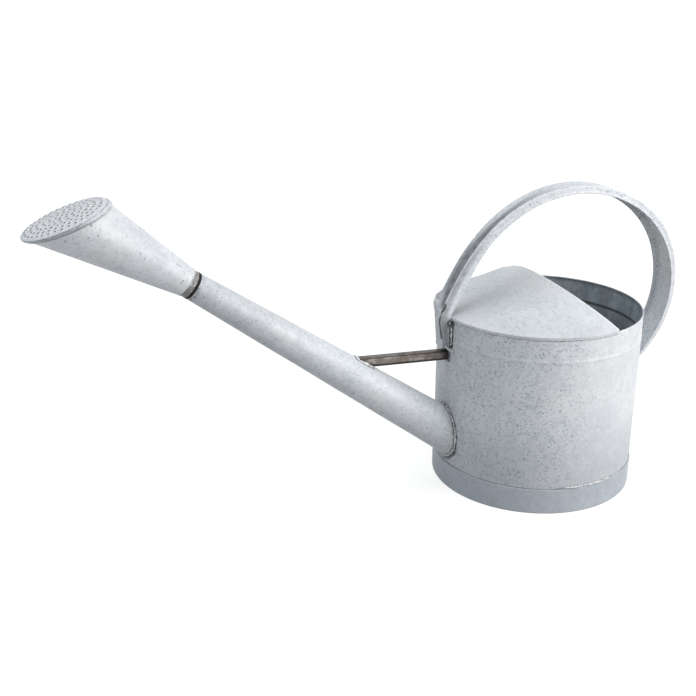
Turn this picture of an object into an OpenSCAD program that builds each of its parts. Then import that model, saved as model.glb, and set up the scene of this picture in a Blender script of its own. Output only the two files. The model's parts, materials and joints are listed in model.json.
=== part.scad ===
// Long-reach watering can in galvanised sheet, with a braced spout and a pull-off rose.
// Millimetres, +Z up. The origin is the centre of the foot ring on the ground.
// The spout points along -X and the can is symmetric about the plane Y = 0.

/* [Can] */
// Outer diameter of the can's wall
can_d = 220; // [184:1:264]
// Height of the rim above the ground
can_h = 198; // [165:1:238]
// Sheet thickness of the wall
wall_t = 0.8; // [0.7:0.05:1.2]
// Depth of the stiffening bead's middle below the rim
bead_drop = 27; // [18:1:36]
// Radius of the bead's cross-section
bead_r = 4; // [3:0.5:5]
// How far the bead stands out of the wall
bead_out = 1.2; // [0.8:0.1:1.8]
// Thickness of the rolled rim
rim_roll_d = 2; // [1.8:0.1:2.6]

/* [Foot] */
// Height of the foot ring
foot_h = 28.7; // [22:0.1:36]
// Sheet thickness of the foot ring
foot_t = 0.8; // [0.6:0.1:1.2]
// Width of the foot ring's turned-in lip
foot_lip = 5; // [4:0.5:8]
// Height of the floor's top above the ground
floor_h = 9; // [7:0.5:14]
// Sheet thickness of the floor
floor_t = 0.8; // [0.6:0.1:1.2]
// Height of the floor's turned-up edge
floor_edge_h = 10; // [6:0.5:14]
// Size of the solder fillet on top of the foot ring
foot_solder = 1.2; // [0.8:0.1:2]

/* [Hood] */
// Sheet thickness of the hood
hood_t = 0.7; // [0.5:0.1:1]
// Slope of the hood's ridge, in degrees
hood_pitch = 18.3; // [14:0.1:22]
// How far behind the can's middle the hood's straight lines would meet
hood_apex_back = 157; // [130:1:190]
// How far behind the can's middle the hood's two corners lie
hood_corner_back = 31; // [20:1:40]
// Lean of the hood's free edge from the vertical, in degrees
hood_lean = 47; // [40:1:52]
// Depth of the skirt that grips the rim
hood_skirt = 3; // [2:0.5:5]

/* [Handle] */
// Sheet thickness of the handle
handle_t = 1.2; // [1:0.1:1.5]
// Height of the handle's top above the rim
handle_rise = 129; // [108:1:155]
// How far behind the can's middle the handle's top lies
handle_top_back = 31; // [20:1:40]
// How far the handle bows out behind the wall
handle_bow = 52.4; // [44:0.1:60]
// How far the front of the handle stands off the wall
handle_standoff = 12.5; // [11:0.5:14]
// Length of the straight stretch above the front foot
handle_straight = 50; // [35:1:60]
// Radius of the bend above the front foot
knee_r = 14; // [12:1:20]
// Angle above the horizontal where the two arcs of the loop meet, in degrees
arc_join = 58; // [50:1:66]
// Width of the handle at the front
handle_front_w = 18; // [15:0.5:22]
// Width of the handle at the rear
handle_rear_w = 33; // [27:0.5:38]
// Depth of the handle's folded edges on top of the loop
edge_top = 7.5; // [5:0.5:9]
// Depth of the handle's folded edges behind the can
edge_rear = 4; // [2.5:0.5:6]
// How far the front foot reaches below the rim
front_foot_drop = 34; // [26:1:38]
// Length of the rear foot on the wall
rear_foot_len = 26; // [20:1:32]
// Radius of the bend above the rear foot
heel_r = 6; // [4:1:10]

/* [Spout] */
// Gap between the foot ring's top and the spout's lower edge, at the wall
spout_clear = 7; // [5:0.5:10]
// Slope of the spout above the horizontal, in degrees
spout_angle = 35.8; // [32:0.1:39]
// Length of the spout's taper from the wall, along its axis
spout_len = 331.5; // [276:0.5:398]
// Outer diameter of the spout at the wall
spout_root_d = 47.4; // [40:0.2:56]
// Outer diameter of the spout at the end of its taper
spout_end_d = 27.8; // [23:0.2:33]
// Step from the end of the taper in to the spigot that the rose slides on
spigot_step = 0.7; // [0.5:0.1:1]
// Length of the spigot
spigot_len = 24; // [23:1:30]
// Sheet thickness of the spout
spout_t = 0.8; // [0.6:0.1:1.2]
// Radius of the weld bead round the spout's root
weld_r = 1.7; // [1.2:0.1:2.2]

/* [Brace] */
// Outer width of the square brace tube
brace_w = 10; // [8:0.5:12]
// Wall thickness of the brace tube
brace_t = 1.5; // [1:0.1:2]
// Gap between the handle's front foot and the brace
brace_gap = 5.4; // [3:0.2:10]
// Slope of the brace towards the spout, in degrees
brace_angle = 2.5; // [0:0.5:5]
// Thickness of the weld and solder collars at its ends
brace_weld = 1.6; // [1:0.1:2.2]

/* [Rose] */
// Sheet thickness of the rose's neck sleeve
neck_t = 0.65; // [0.55:0.05:1]
// Length of the neck sleeve
neck_len = 19; // [16:1:21]
// How much of the neck sleeve shows between the seal and the cone
neck_show = 6; // [5:0.5:10]
// Sheet thickness of the cone, the face and its band
rose_t = 0.7; // [0.6:0.1:1]
// Distance from the end of the spout's taper to the middle of the rose's face
rose_reach = 135.5; // [114:0.5:162]
// Outer diameter of the perforated face
face_d = 82.4; // [69:0.2:98]
// Upward tilt of the face from square to the spout, in degrees
face_tilt = 33.8; // [28:0.1:38]
// How far the face's middle lies below the spout's axis
face_drop = 4.6; // [0:0.2:8]
// Height of the band that clamps the face on the cone
band_h = 5; // [4:0.5:8]
// Height of the face's dome
face_dome = 2.4; // [1.5:0.1:4]
// Diameter of the holes in the face
hole_d = 1.7; // [1.2:0.1:2.2]
// Distance between the rings of holes
hole_pitch = 6.1; // [5.2:0.1:6.8]
// Number of rings of holes
hole_rings = 6; // [3:1:6]

/* [Seal] */
// Width of the rubber seal along the spout
seal_w = 3; // [2:0.5:5]
// How far the seal stands out of the neck sleeve
seal_out = 0.2; // [0.1:0.1:0.8]

/* [Fit] */
// Radial running clearance of the rose and the seal on the spout
running_gap = 0.06; // [0.03:0.01:0.1]
// Gap between sheets that lie on each other
sheet_gap = 0.1; // [0.05:0.05:0.2]

/* [Hidden] */

$fn = 96;
zinc = [0.74, 0.77, 0.80];
zinc_dark = [0.55, 0.58, 0.61];
solder_grey = [0.80, 0.81, 0.82];
weld_brown = [0.36, 0.31, 0.29];
bare_steel = [0.38, 0.35, 0.33];
rubber_black = [0.09, 0.08, 0.08];

can_r = can_d / 2;
wall_top = can_h - hood_t - sheet_gap;
wall_bottom = 3;
bead_c = can_r + bead_out - bead_r;
bead_h = sqrt(bead_r * bead_r - pow(bead_r - bead_out, 2));
foot_r = can_r + sheet_gap + foot_t;
skirt_r = can_r + rim_roll_d / 2 - wall_t + sheet_gap + hood_t;

// The hood is part of a cone through the rim whose tip lies behind and above the can.
hood_apex = [hood_apex_back, 0, (skirt_r + hood_apex_back) * tan(hood_pitch)];
hood_end = acos(-hood_corner_back / skirt_r) - 1.5;
hood_steps = 64;
hood_rows = 8;

// The handle's side view, as the line of its outer face: foot, knee, straight, two arcs, heel, foot.
knee = [-can_r - handle_standoff + knee_r, can_h + 2];
handle_top = can_h + handle_rise;
knee_dx = handle_top_back - knee[0];
knee_dz = handle_top - knee[1];
front_arc_r = (pow(knee_dx, 2) + pow(knee_dz, 2) - pow(knee_r, 2) - pow(handle_straight, 2))
              / (2 * (knee_dz - knee_r));
front_arc_c = [handle_top_back, handle_top - front_arc_r];
knee_span = norm(front_arc_c - knee);
straight_angle = atan2(front_arc_c[1] - knee[1], front_arc_c[0] - knee[0])
                 + asin((front_arc_r - knee_r) / knee_span);
rear_arc_r = (can_r + handle_bow - handle_top_back - front_arc_r * cos(arc_join))
             / (1 - cos(arc_join));
rear_arc_c = front_arc_c + (front_arc_r - rear_arc_r) * [cos(arc_join), sin(arc_join)];
rear_face_x = can_r + sheet_gap + handle_t;
heel_angle = -acos((rear_face_x + heel_r - rear_arc_c[0]) / (rear_arc_r + heel_r));
heel_c = rear_arc_c + (rear_arc_r + heel_r) * [cos(heel_angle), sin(heel_angle)];
front_foot_z = can_h - front_foot_drop;
rear_foot_z = heel_c[1] - rear_foot_len;
edge_front = handle_standoff + can_r - skirt_r - sheet_gap;
edge_foot = handle_t + 0.1;
across = 6;

spout_root_z = foot_h + spout_clear + spout_root_d / 2 / cos(spout_angle);
spout_taper = (spout_root_d - spout_end_d) / 2 / spout_len;
spigot_r = spout_end_d / 2 - spigot_step;
brace_z = front_foot_z - brace_gap - brace_w / 2;

neck_bore_r = spigot_r + running_gap;
neck_r = neck_bore_r + neck_t;
neck_z = seal_w + 2 * sheet_gap;
cone_z = neck_z + neck_show;
face_r = face_d / 2;
cone_mouth_r = face_r - rose_t - sheet_gap;
cone_neck_r = neck_r + sheet_gap + rose_t;
dome_r = (pow(face_r, 2) + pow(face_dome, 2)) / (2 * face_dome);
cone_steps = 72;

// ---- shared shapes ----

// Unit vector along v.
function unit(v) = v / norm(v);

// Outward normal at point i, j of a grid of surface points, from its neighbours.
function grid_normal(g, i, j) =
    let(across = g[min(i + 1, len(g) - 1)][j] - g[max(i - 1, 0)][j])
    let(along = g[i][min(j + 1, len(g[0]) - 1)] - g[i][max(j - 1, 0)])
    unit(cross(across, along));

// Two triangles over the four-sided patch a, b, c, d.
function patch(a, b, c, d) = [[a, b, c], [a, c, d]];

// A thin solid between the grids outer[i][j] and inner[i][j]; wrap closes it in i.
module shell(outer, inner, wrap = false) {
    n = len(outer);
    m = len(outer[0]);
    under = n * m;
    columns = wrap ? n - 1 : n - 2;
    skins = [for (i = [0:columns]) for (j = [0:m - 2])
        let(a = i * m + j, b = ((i + 1) % n) * m + j)
        each concat(patch(a, a + 1, b + 1, b),
                    patch(under + b, under + b + 1, under + a + 1, under + a))];
    rims = [for (i = [0:columns])
        let(a = i * m, b = ((i + 1) % n) * m, top = m - 1)
        each concat(patch(a, b, under + b, under + a),
                    patch(b + top, a + top, under + a + top, under + b + top))];
    sides = wrap ? [] : [for (j = [0:m - 2])
        let(a = j, b = (n - 1) * m + j)
        each concat(patch(a + 1, a, under + a, under + a + 1),
                    patch(b, b + 1, under + b + 1, under + b))];
    points = [for (grid = [outer, inner]) for (column = grid) each column];
    polyhedron(points, concat(skins, rims, sides), convexity = 8);
}

// A sheet of thickness t whose outer face is the grid g[i][j].
module sheet(g, t) {
    inner = [for (i = [0:len(g) - 1]) [for (j = [0:len(g[0]) - 1])
        g[i][j] - t * grid_normal(g, i, j)]];
    shell(g, inner);
}

// A closed hoop skinned over a ring of outlines with the same number of points.
module hoop(outlines) {
    n = len(outlines);
    m = len(outlines[0]);
    bands = [for (i = [0:n - 1]) for (j = [0:m - 1])
        let(a = i * m, b = ((i + 1) % n) * m, k = (j + 1) % m)
        each patch(a + j, a + k, b + k, b + j)];
    polyhedron([for (outline = outlines) each outline], bands, convexity = 8);
}

// A tube of revolution between two radii.
module ring(r_out, r_in, h) {
    difference() {
        cylinder(r = r_out, h = h);
        translate([0, 0, -1]) cylinder(r = r_in, h = h + 2);
    }
}

// A torus about Z with its middle circle at radius r and a round section of radius s.
module torus(r, s) {
    rotate_extrude() translate([r, 0]) circle(r = s, $fn = 32);
}

// Children drawn with +Z along the spout's axis, s beyond the wall; +X is its upper side.
module on_spout(s = 0) {
    translate([-can_r, 0, spout_root_z]) rotate([0, spout_angle - 90, 0])
        translate([0, 0, s]) children();
}

// Children drawn with +Z along the rose's face normal, centred on the face.
module on_face() {
    on_spout(spout_len) translate([-face_drop, 0, rose_reach]) rotate([0, face_tilt, 0])
        children();
}

// Radius of the spout's outside at distance s from the wall.
function spout_r(s) = spout_root_d / 2 - spout_taper * s;

// The spout's solid outline, grown by extra; it starts inside the can. A negative extra
// gives the bore, whose shoulder lies one sheet thickness before the outer one.
module spout_cone(extra = 0) {
    inside = 60;
    end = spout_len + min(extra, 0);
    on_spout(-inside) cylinder(r1 = spout_r(-inside) + extra, r2 = spout_r(end) + extra,
                               h = inside + end);
    on_spout(end) cylinder(r = spigot_r + extra, h = spout_len - end + spigot_len);
}

// The brace's square section run from the can's axis past the spout.
module brace_bar(w) {
    translate([-can_r, 0, brace_z]) rotate([0, brace_angle, 0])
        translate([-can_r, -w / 2, -w / 2]) cube([can_r + 40, w, w]);
}

// ---- can ----

module body_wall() {
    color(zinc) difference() {
        union() {
            translate([0, 0, wall_bottom]) cylinder(r = can_r, h = wall_top - wall_bottom
                                                              - rim_roll_d / 2);
            translate([0, 0, can_h - bead_drop]) torus(bead_c, bead_r);
            translate([0, 0, wall_top - rim_roll_d / 2])
                torus(can_r - wall_t, rim_roll_d / 2);
        }
        translate([0, 0, wall_bottom - 1])
            cylinder(r = can_r - wall_t, h = wall_top - wall_bottom - rim_roll_d / 2);
        translate([0, 0, wall_top - rim_roll_d / 2 - 2])
            cylinder(r = can_r - wall_t - rim_roll_d / 2 + 0.3, h = rim_roll_d + 3);
        translate([0, 0, can_h - bead_drop]) torus(bead_c, bead_r - wall_t);
        spout_cone(-spout_t);
    }
}

module base_pan() {
    r = can_r - wall_t - sheet_gap;
    color(zinc_dark) union() {
        translate([0, 0, floor_h - floor_t]) cylinder(r = r, h = floor_t);
        translate([0, 0, floor_h - floor_t]) ring(r, r - floor_t, floor_edge_h);
    }
}

module foot_ring() {
    color(zinc) union() {
        ring(foot_r, foot_r - foot_t, foot_h);
        ring(foot_r, can_r - wall_t - foot_lip, foot_t);
        translate([0, 0, foot_t]) ring(can_r - wall_t - foot_lip + foot_t,
                                       can_r - wall_t - foot_lip, foot_t);
    }
}

module foot_solder_seam() {
    color(zinc_dark) translate([0, 0, foot_h + sheet_gap]) rotate_extrude()
        polygon([[can_r + sheet_gap / 2, 0], [can_r + sheet_gap / 2 + foot_t, 0],
                 [can_r + sheet_gap / 2, foot_solder]]);
}

// ---- hood ----

// Point on the hood's outer face: a from the front in degrees, u from the rim (0) to the free edge.
function hood_point(a, u) =
    let(base = skirt_r * [-cos(a), sin(a), 0])
    let(line = hood_apex - base)
    let(reach = (hood_corner_back - base[0]) / (line[0] + line[2] * tan(hood_lean)))
    base + u * reach * line + [0, 0, can_h];

module hood() {
    grid = [for (i = [0:hood_steps])
        let(a = hood_end * (1 - 2 * i / hood_steps))
        concat([skirt_r * [-cos(a), sin(a), 0] + [0, 0, can_h - hood_skirt]],
               [for (j = [0:hood_rows]) hood_point(a, j / hood_rows)])];
    color(zinc) sheet(grid, hood_t);
}

// ---- handle ----

// Share of the way from a to b, held between 0 and 1 and eased at both ends.
function ease(x, a, b) = let(t = min(max((x - a) / (b - a), 0), 1)) t * t * (3 - 2 * t);

// Stations along the outer face: [x, z, angle of the outward normal, place]; place runs
// from 0 to 1 at the knee, 2 at the top, 3 at the heel and 4 at the end of the rear foot.
handle_stations = concat(
    [for (i = [0:4]) [knee[0] - knee_r, front_foot_z + (knee[1] - front_foot_z) * i / 4, 180,
                      i / 4]],
    [for (i = [1:4]) let(a = 180 - (90 - straight_angle) * i / 4)
        [knee[0] + knee_r * cos(a), knee[1] + knee_r * sin(a), a, 1]],
    [for (i = [0:18]) let(a = straight_angle + 90 - (straight_angle + 90 - arc_join) * i / 18)
        [front_arc_c[0] + front_arc_r * cos(a), front_arc_c[1] + front_arc_r * sin(a), a,
         1.2 + 0.8 * i / 18]],
    [for (i = [1:24]) let(a = arc_join + (heel_angle - arc_join) * i / 24)
        [rear_arc_c[0] + rear_arc_r * cos(a), rear_arc_c[1] + rear_arc_r * sin(a), a,
         2 + i / 24]],
    [for (i = [1:6]) let(a = heel_angle * (1 - i / 6))
        [heel_c[0] - heel_r * cos(a), heel_c[1] - heel_r * sin(a), a, 3 + 0.2 * i / 6]],
    [for (i = [1:4]) [rear_face_x, heel_c[1] - rear_foot_len * i / 4, 0, 3.2 + 0.8 * i / 4]]);

// Width of the handle and depth of its folded edges at a place along it.
function handle_w(place) = handle_front_w + (handle_rear_w - handle_front_w)
                           * ease(place, 1.1, 2.5);
function handle_edge(place) = edge_front + (edge_top - edge_front) * ease(place, 1.1, 2)
                              + (edge_rear - edge_top) * ease(place, 2, 2.6)
                              + (edge_foot - edge_rear) * ease(place, 2.85, 3.05);

// The bent channel's face at a station, in (across, depth) pairs moved into place.
// The rear foot wraps round the wall.
function handle_face(s, profile) =
    let(n = [cos(s[2]), 0, sin(s[2])], wrap = ease(s[3], 3.05, 3.2))
    [for (p = profile) let(sag = can_r - sqrt(can_r * can_r - p[0] * p[0]))
        [s[0], p[0], s[1]] - (p[1] + wrap * sag) * n];

// Half the channel's outline at face depth t below the outer face, side to side.
function channel(w, d, t) = concat(
    [[t - w, d]],
    [for (i = [0:across]) [(w - t) * (2 * i / across - 1), t]],
    [[w - t, d]]);

module handle() {
    faces = [for (t = [0, handle_t]) [for (s = handle_stations)
        handle_face(s, channel(handle_w(s[3]) / 2, handle_edge(s[3]), t))]];
    color(zinc) shell(faces[0], faces[1]);
}

// Solder that fills the gap between the front foot's folded edges and the wall.
module handle_front_solder() {
    color(solder_grey) difference() {
        for (side = [-1, 1])
            translate([-skirt_r, side * (handle_front_w - handle_t) / 2 - 1, front_foot_z])
                cube([skirt_r - can_r + 3, 2, front_foot_drop - hood_skirt - 1]);
        cylinder(r = can_r + sheet_gap / 2, h = can_h, $fn = 360);
        translate([0, 0, can_h - bead_drop - bead_h - sheet_gap])
            cylinder(r = skirt_r + 5, h = 2 * (bead_h + sheet_gap));
    }
}

// Solder bead under and beside the rear foot.
module handle_rear_solder() {
    bead = 1.4;
    half = handle_rear_w / 2;
    color(solder_grey) intersection() {
        translate([0, 0, rear_foot_z - bead - sheet_gap])
            ring(can_r + bead, can_r + sheet_gap / 2, rear_foot_len);
        difference() {
            translate([0, -half - bead - sheet_gap, rear_foot_z - bead - sheet_gap])
                cube([2 * can_r, 2 * (half + bead + sheet_gap), rear_foot_len - 6]);
            translate([0, -half - sheet_gap, rear_foot_z - sheet_gap])
                cube([2 * can_r + 2, 2 * (half + sheet_gap), rear_foot_len]);
        }
    }
}

// ---- spout ----

module spout() {
    color(zinc) difference() {
        spout_cone();
        spout_cone(-spout_t);
        on_spout(spout_len + spigot_len - 1) cylinder(r = spigot_r - spout_t, h = 2);
        translate([0, 0, -50]) cylinder(r = can_r + sheet_gap, h = can_h + 100);
    }
}

// Point where the spout's outer line at angle a round its axis meets the wall.
function root_point(a) =
    let(axis = [-cos(spout_angle), 0, sin(spout_angle)])
    let(side = cos(a) * [sin(spout_angle), 0, cos(spout_angle)] + sin(a) * [0, 1, 0])
    let(from = [-can_r, 0, spout_root_z] + spout_root_d / 2 * side)
    let(line = axis - spout_taper * side)
    let(qa = line[0] * line[0] + line[1] * line[1])
    let(qb = from[0] * line[0] + from[1] * line[1])
    let(qc = from[0] * from[0] + from[1] * from[1] - can_r * can_r)
    from + line * (-qb + sqrt(qb * qb - qa * qc)) / qa;

module spout_weld() {
    steps = 48;
    sides = 8;
    loop = [for (i = [0:steps - 1]) root_point(360 * i / steps)];
    outlines = [for (i = [0:steps - 1])
        let(along = unit(loop[(i + 1) % steps] - loop[(i + steps - 1) % steps]))
        let(out = unit([loop[i][0], loop[i][1], 0]))
        let(over = unit(cross(along, out)))
        [for (k = [0:sides - 1]) loop[i] + weld_r * (cos(360 * k / sides) * over
                                                     + sin(360 * k / sides) * out)]];
    color(weld_brown) hoop(outlines);
}

// ---- brace ----

module brace() {
    color(bare_steel) difference() {
        brace_bar(brace_w);
        brace_bar(brace_w - 2 * brace_t);
        translate([0, 0, -1]) cylinder(r = can_r + sheet_gap, h = can_h);
        spout_cone(sheet_gap);
        beyond_spout();
    }
}

// Everything in front of and below the spout, which trims the brace's long end.
module beyond_spout() {
    on_spout(-60) translate([-200, -30, 0]) cube([200, 60, spout_len]);
}

module brace_wall_weld() {
    color(weld_brown) difference() {
        intersection() {
            brace_bar(brace_w + 2 * brace_weld);
            ring(can_r + sheet_gap + brace_weld, can_r + sheet_gap, can_h);
        }
        brace_bar(brace_w + 2 * sheet_gap);
        translate([0, -can_r, 0]) cube([can_r * 2, can_r * 2, can_h]);
    }
}

module brace_spout_solder() {
    color(solder_grey) difference() {
        intersection() {
            brace_bar(brace_w + 2 * brace_weld);
            spout_cone(sheet_gap + brace_weld);
        }
        brace_bar(brace_w + 2 * sheet_gap);
        spout_cone(sheet_gap);
        beyond_spout();
    }
}

// ---- rose ----

module rose_seal() {
    color(rubber_black) on_spout(spout_len + sheet_gap)
        ring(neck_r + seal_out, neck_bore_r, seal_w);
}

module rose_neck() {
    color(zinc) on_spout(spout_len + neck_z) ring(neck_r, neck_bore_r, neck_len);
}

module rose_neck_solder() {
    bead = 1.2;
    color(solder_grey) on_spout(spout_len + cone_z - bead - sheet_gap)
        rotate_extrude() polygon([[neck_r + sheet_gap / 2, 0], [neck_r + sheet_gap / 2, bead],
                                  [neck_r + bead, bead]]);
}

// A vector given along the face, turned into the spout's frame.
function face_turn(v) = [v[0] * cos(face_tilt) + v[2] * sin(face_tilt), v[1],
                         v[2] * cos(face_tilt) - v[0] * sin(face_tilt)];

// Point on the cone, off beyond its outer face: a from the upper side, u from the neck (0)
// to the mouth (1).
function cone_point(a, u, off = 0) =
    let(neck = [(cone_neck_r + off) * cos(a), (cone_neck_r + off) * sin(a), cone_z])
    let(mouth_r = cone_mouth_r + off)
    let(mouth = [-face_drop, 0, rose_reach]
                + face_turn([mouth_r * cos(a), mouth_r * sin(a), -rose_t - sheet_gap]))
    neck + u * (mouth - neck);

module rose_cone() {
    rows = 6;
    faces = [for (off = [0, -rose_t]) [for (i = [0:cone_steps - 1])
        [for (j = [0:rows]) cone_point(360 * i / cone_steps, j / rows, off)]]];
    color(zinc) on_spout(spout_len) shell(faces[0], faces[1], wrap = true);
}

// A collar that follows the cone's mouth just outside it and ends level with the mouth.
module rose_band() {
    faces = [for (off = [sheet_gap + rose_t, sheet_gap]) [for (i = [0:cone_steps - 1])
        let(a = 360 * i / cone_steps)
        let(share = band_h / norm(cone_point(a, 1) - cone_point(a, 0)))
        [for (u = [1 - share, 1]) cone_point(a, u, off)]]];
    color(zinc) on_spout(spout_len) shell(faces[0], faces[1], wrap = true);
}

module rose_face() {
    color(zinc) on_face() difference() {
        intersection() {
            translate([0, 0, face_dome - dome_r]) sphere(r = dome_r);
            translate([0, 0, -rose_t]) cylinder(r = face_r, h = face_dome + 2 * rose_t);
        }
        translate([0, 0, face_dome - dome_r - rose_t]) sphere(r = dome_r);
        for (n = [0:hole_rings], k = [0:max(6 * n - 1, 0)])
            rotate([0, 0, 60 * k / max(n, 1) + 7 * n]) translate([n * hole_pitch, 0, -2])
                cylinder(d = hole_d, h = face_dome + 4, $fn = 24);
    }
}

body_wall();
base_pan();
foot_ring();
foot_solder_seam();
hood();
handle();
handle_front_solder();
handle_rear_solder();
spout();
spout_weld();
brace();
brace_wall_weld();
brace_spout_solder();
rose_seal();
rose_neck();
rose_neck_solder();
rose_cone();
rose_band();
rose_face();
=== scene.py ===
"""Long-reach galvanised watering can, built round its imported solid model.

Metres, +Z up. The can stands on Z = 0 round the Z axis, the spout points along -X, and
Y = 0 is the plane of symmetry. Every sheet-metal piece is a closed shell computed on a grid.
"""

import json
import math
from contextlib import contextmanager
from functools import reduce

import bmesh
import bpy
import numpy as np
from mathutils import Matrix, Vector
from mathutils.geometry import delaunay_2d_cdt


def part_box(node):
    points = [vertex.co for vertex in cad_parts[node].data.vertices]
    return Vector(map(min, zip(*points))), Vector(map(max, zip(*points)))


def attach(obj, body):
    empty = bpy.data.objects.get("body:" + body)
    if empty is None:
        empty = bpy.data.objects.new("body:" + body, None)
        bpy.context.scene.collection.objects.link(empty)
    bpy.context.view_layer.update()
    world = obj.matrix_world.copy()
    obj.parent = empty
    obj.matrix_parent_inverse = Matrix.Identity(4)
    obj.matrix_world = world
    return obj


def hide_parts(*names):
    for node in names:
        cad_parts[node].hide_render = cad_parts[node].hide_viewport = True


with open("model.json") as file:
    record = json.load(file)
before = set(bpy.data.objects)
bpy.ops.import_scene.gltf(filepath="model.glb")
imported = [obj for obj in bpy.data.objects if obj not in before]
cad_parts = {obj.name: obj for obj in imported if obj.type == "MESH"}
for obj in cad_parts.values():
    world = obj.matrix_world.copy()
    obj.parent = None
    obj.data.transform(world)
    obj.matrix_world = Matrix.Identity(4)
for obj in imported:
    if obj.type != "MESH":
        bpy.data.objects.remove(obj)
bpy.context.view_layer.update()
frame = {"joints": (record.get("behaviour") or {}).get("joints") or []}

bl_info = {
    "name": "Galvanised Watering Can",
    "version": (1, 0, 0),
    "blender": (4, 5, 0),
    "location": "View3D > Sidebar > Watering Can",
    "description": "Builds a long-reach watering can in galvanised sheet metal",
    "category": "Add Mesh",
}

MM = 0.001
CLEARANCE = 0.1 * MM            # left between neighbouring pieces
FULL_TURN = 2 * math.pi
UP = np.array([0, 0, 1.0])


# ---- places read from the frame ----

def greatest(node, axis="z", digits=4):
    """The highest X, Y or Z of a solid, in metres, rounded because its mesh is faceted."""
    return round(getattr(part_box(node)[1], axis), digits)


def least(node, axis="z", digits=4):
    """The lowest X, Y or Z of a solid, rounded in the same way."""
    return round(getattr(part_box(node)[0], axis), digits)


SOLID_BEAD = 1.2 * MM           # how far the solid wall's bead stands out
WALL_RADIUS = greatest("body_wall", "x") - SOLID_BEAD
SKIRT = 3 * MM
PAN_SHEET = 0.8 * MM
RIM = least("hood") + SKIRT
TAPER, SPIGOT = 0.3315, 0.024
TURN = next(joint for joint in frame["joints"] if joint["name"] == "rose_twist")
SPOUT_SLOPE = round(math.degrees(math.atan2(TURN["axis"][2], -TURN["axis"][0])), 2)
SPOUT_ROOT = round(TURN["pos_m"][2] - (TAPER + SPIGOT) * TURN["axis"][2], 5)
BRACE_HEIGHT = round((greatest("brace_wall_weld", digits=5)
                      + least("brace_wall_weld", digits=5)) / 2, 4)


# ---- settings ----

def length(name, text, default):
    """A length in metres that the sidebar shows in the scene's units."""
    return bpy.props.FloatProperty(name=name, description=text, default=default, min=0.1 * MM,
                                   max=1, unit="LENGTH", precision=4)


def degrees(name, text, default, low=0.0, high=180.0):
    """An angle, kept in radians and given here in degrees."""
    return bpy.props.FloatProperty(name=name, description=text, default=math.radians(default),
                                   min=math.radians(low), max=math.radians(high),
                                   unit="ROTATION")


def share(name, text, default, low, high):
    """A plain number between two limits."""
    return bpy.props.FloatProperty(name=name, description=text, default=default, min=low,
                                   max=high, subtype="FACTOR")


def colour(name, text, default):
    """A linear colour."""
    return bpy.props.FloatVectorProperty(name=name, description=text, default=default, size=3,
                                         min=0.0, max=1.0, subtype="COLOR")


class CanSizes(bpy.types.PropertyGroup):
    """Sizes of the can's wall, rim, bead and foot."""
    radius: length("Radius", "Outer radius of the wall", WALL_RADIUS)
    height: length("Height", "Height of the rim", RIM)
    sheet: length("Sheet", "Thickness of the wall's sheet", 0.0008)
    rim_roll: length("Rim roll", "Radius of the rolled rim", 0.001)
    rim_top: length("Rim top", "Height of the rolled rim's top", greatest("body_wall"))
    bead_height: length("Bead height", "Height of the stiffening bead's middle", 0.171)
    bead_out: length("Bead relief", "How far the bead stands out of the wall", 0.00035)
    foot_height: length("Foot height", "Height of the foot band", greatest("foot_ring"))
    foot_out: length("Foot relief", "How far the foot band stands out of the wall", 0.0010)
    floor_height: length("Floor height", "Height of the floor's top",
                         least("base_pan") + PAN_SHEET)


class HoodSizes(bpy.types.PropertyGroup):
    """Sizes of the half cone over the front of the mouth."""
    skirt_radius: length("Skirt radius", "Outer radius where the hood grips the rim",
                         -least("hood", "x"))
    skirt: length("Skirt", "Depth of the skirt below the rim", SKIRT)
    sheet: length("Sheet", "Thickness of the hood's sheet", 0.0007)
    pitch: degrees("Pitch", "Slope of the ridge", 18.3)
    apex_back: length("Tip distance", "How far behind the middle the cone's lines meet", 0.157)
    corner_back: length("Corner distance", "How far behind the middle the corners lie", 0.031)
    lean: degrees("Lean", "Lean of the free edge from the vertical", 47)


class HandleSizes(bpy.types.PropertyGroup):
    """Sizes of the bowed channel handle."""
    sheet: length("Sheet", "Thickness of the handle's sheet", 0.0012)
    rise: length("Rise", "Height of the handle's top above the rim",
                 greatest("handle") - RIM)
    top_back: length("Top distance", "How far behind the middle the top lies", 0.031)
    bow: length("Bow", "How far the handle bows out behind the wall", 0.0524)
    standoff: length("Stand-off", "How far the front stands off the wall",
                     -least("handle", "x") - WALL_RADIUS)
    straight: length("Straight", "Length of the straight stretch at the front", 0.050)
    knee: length("Knee", "Radius of the bend above the front foot", 0.014)
    heel: length("Heel", "Radius of the bend above the rear foot", 0.006)
    arc_join: degrees("Arc join", "Where the two arcs of the loop meet", 58)
    front_width: length("Front width", "Width at the front", 0.018)
    rear_width: length("Rear width", "Width at the rear", 2 * greatest("handle", "y"))
    front_edge: length("Front edge", "Depth of the folded edges at the front", 0.0114)
    top_edge: length("Top edge", "Depth of the folded edges on top", 0.0075)
    rear_edge: length("Rear edge", "Depth of the folded edges at the rear", 0.004)
    front_foot: length("Front foot", "How far the front foot reaches below the rim", 0.034)
    rear_foot: length("Rear foot", "Length of the rear foot", 0.026)


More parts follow.
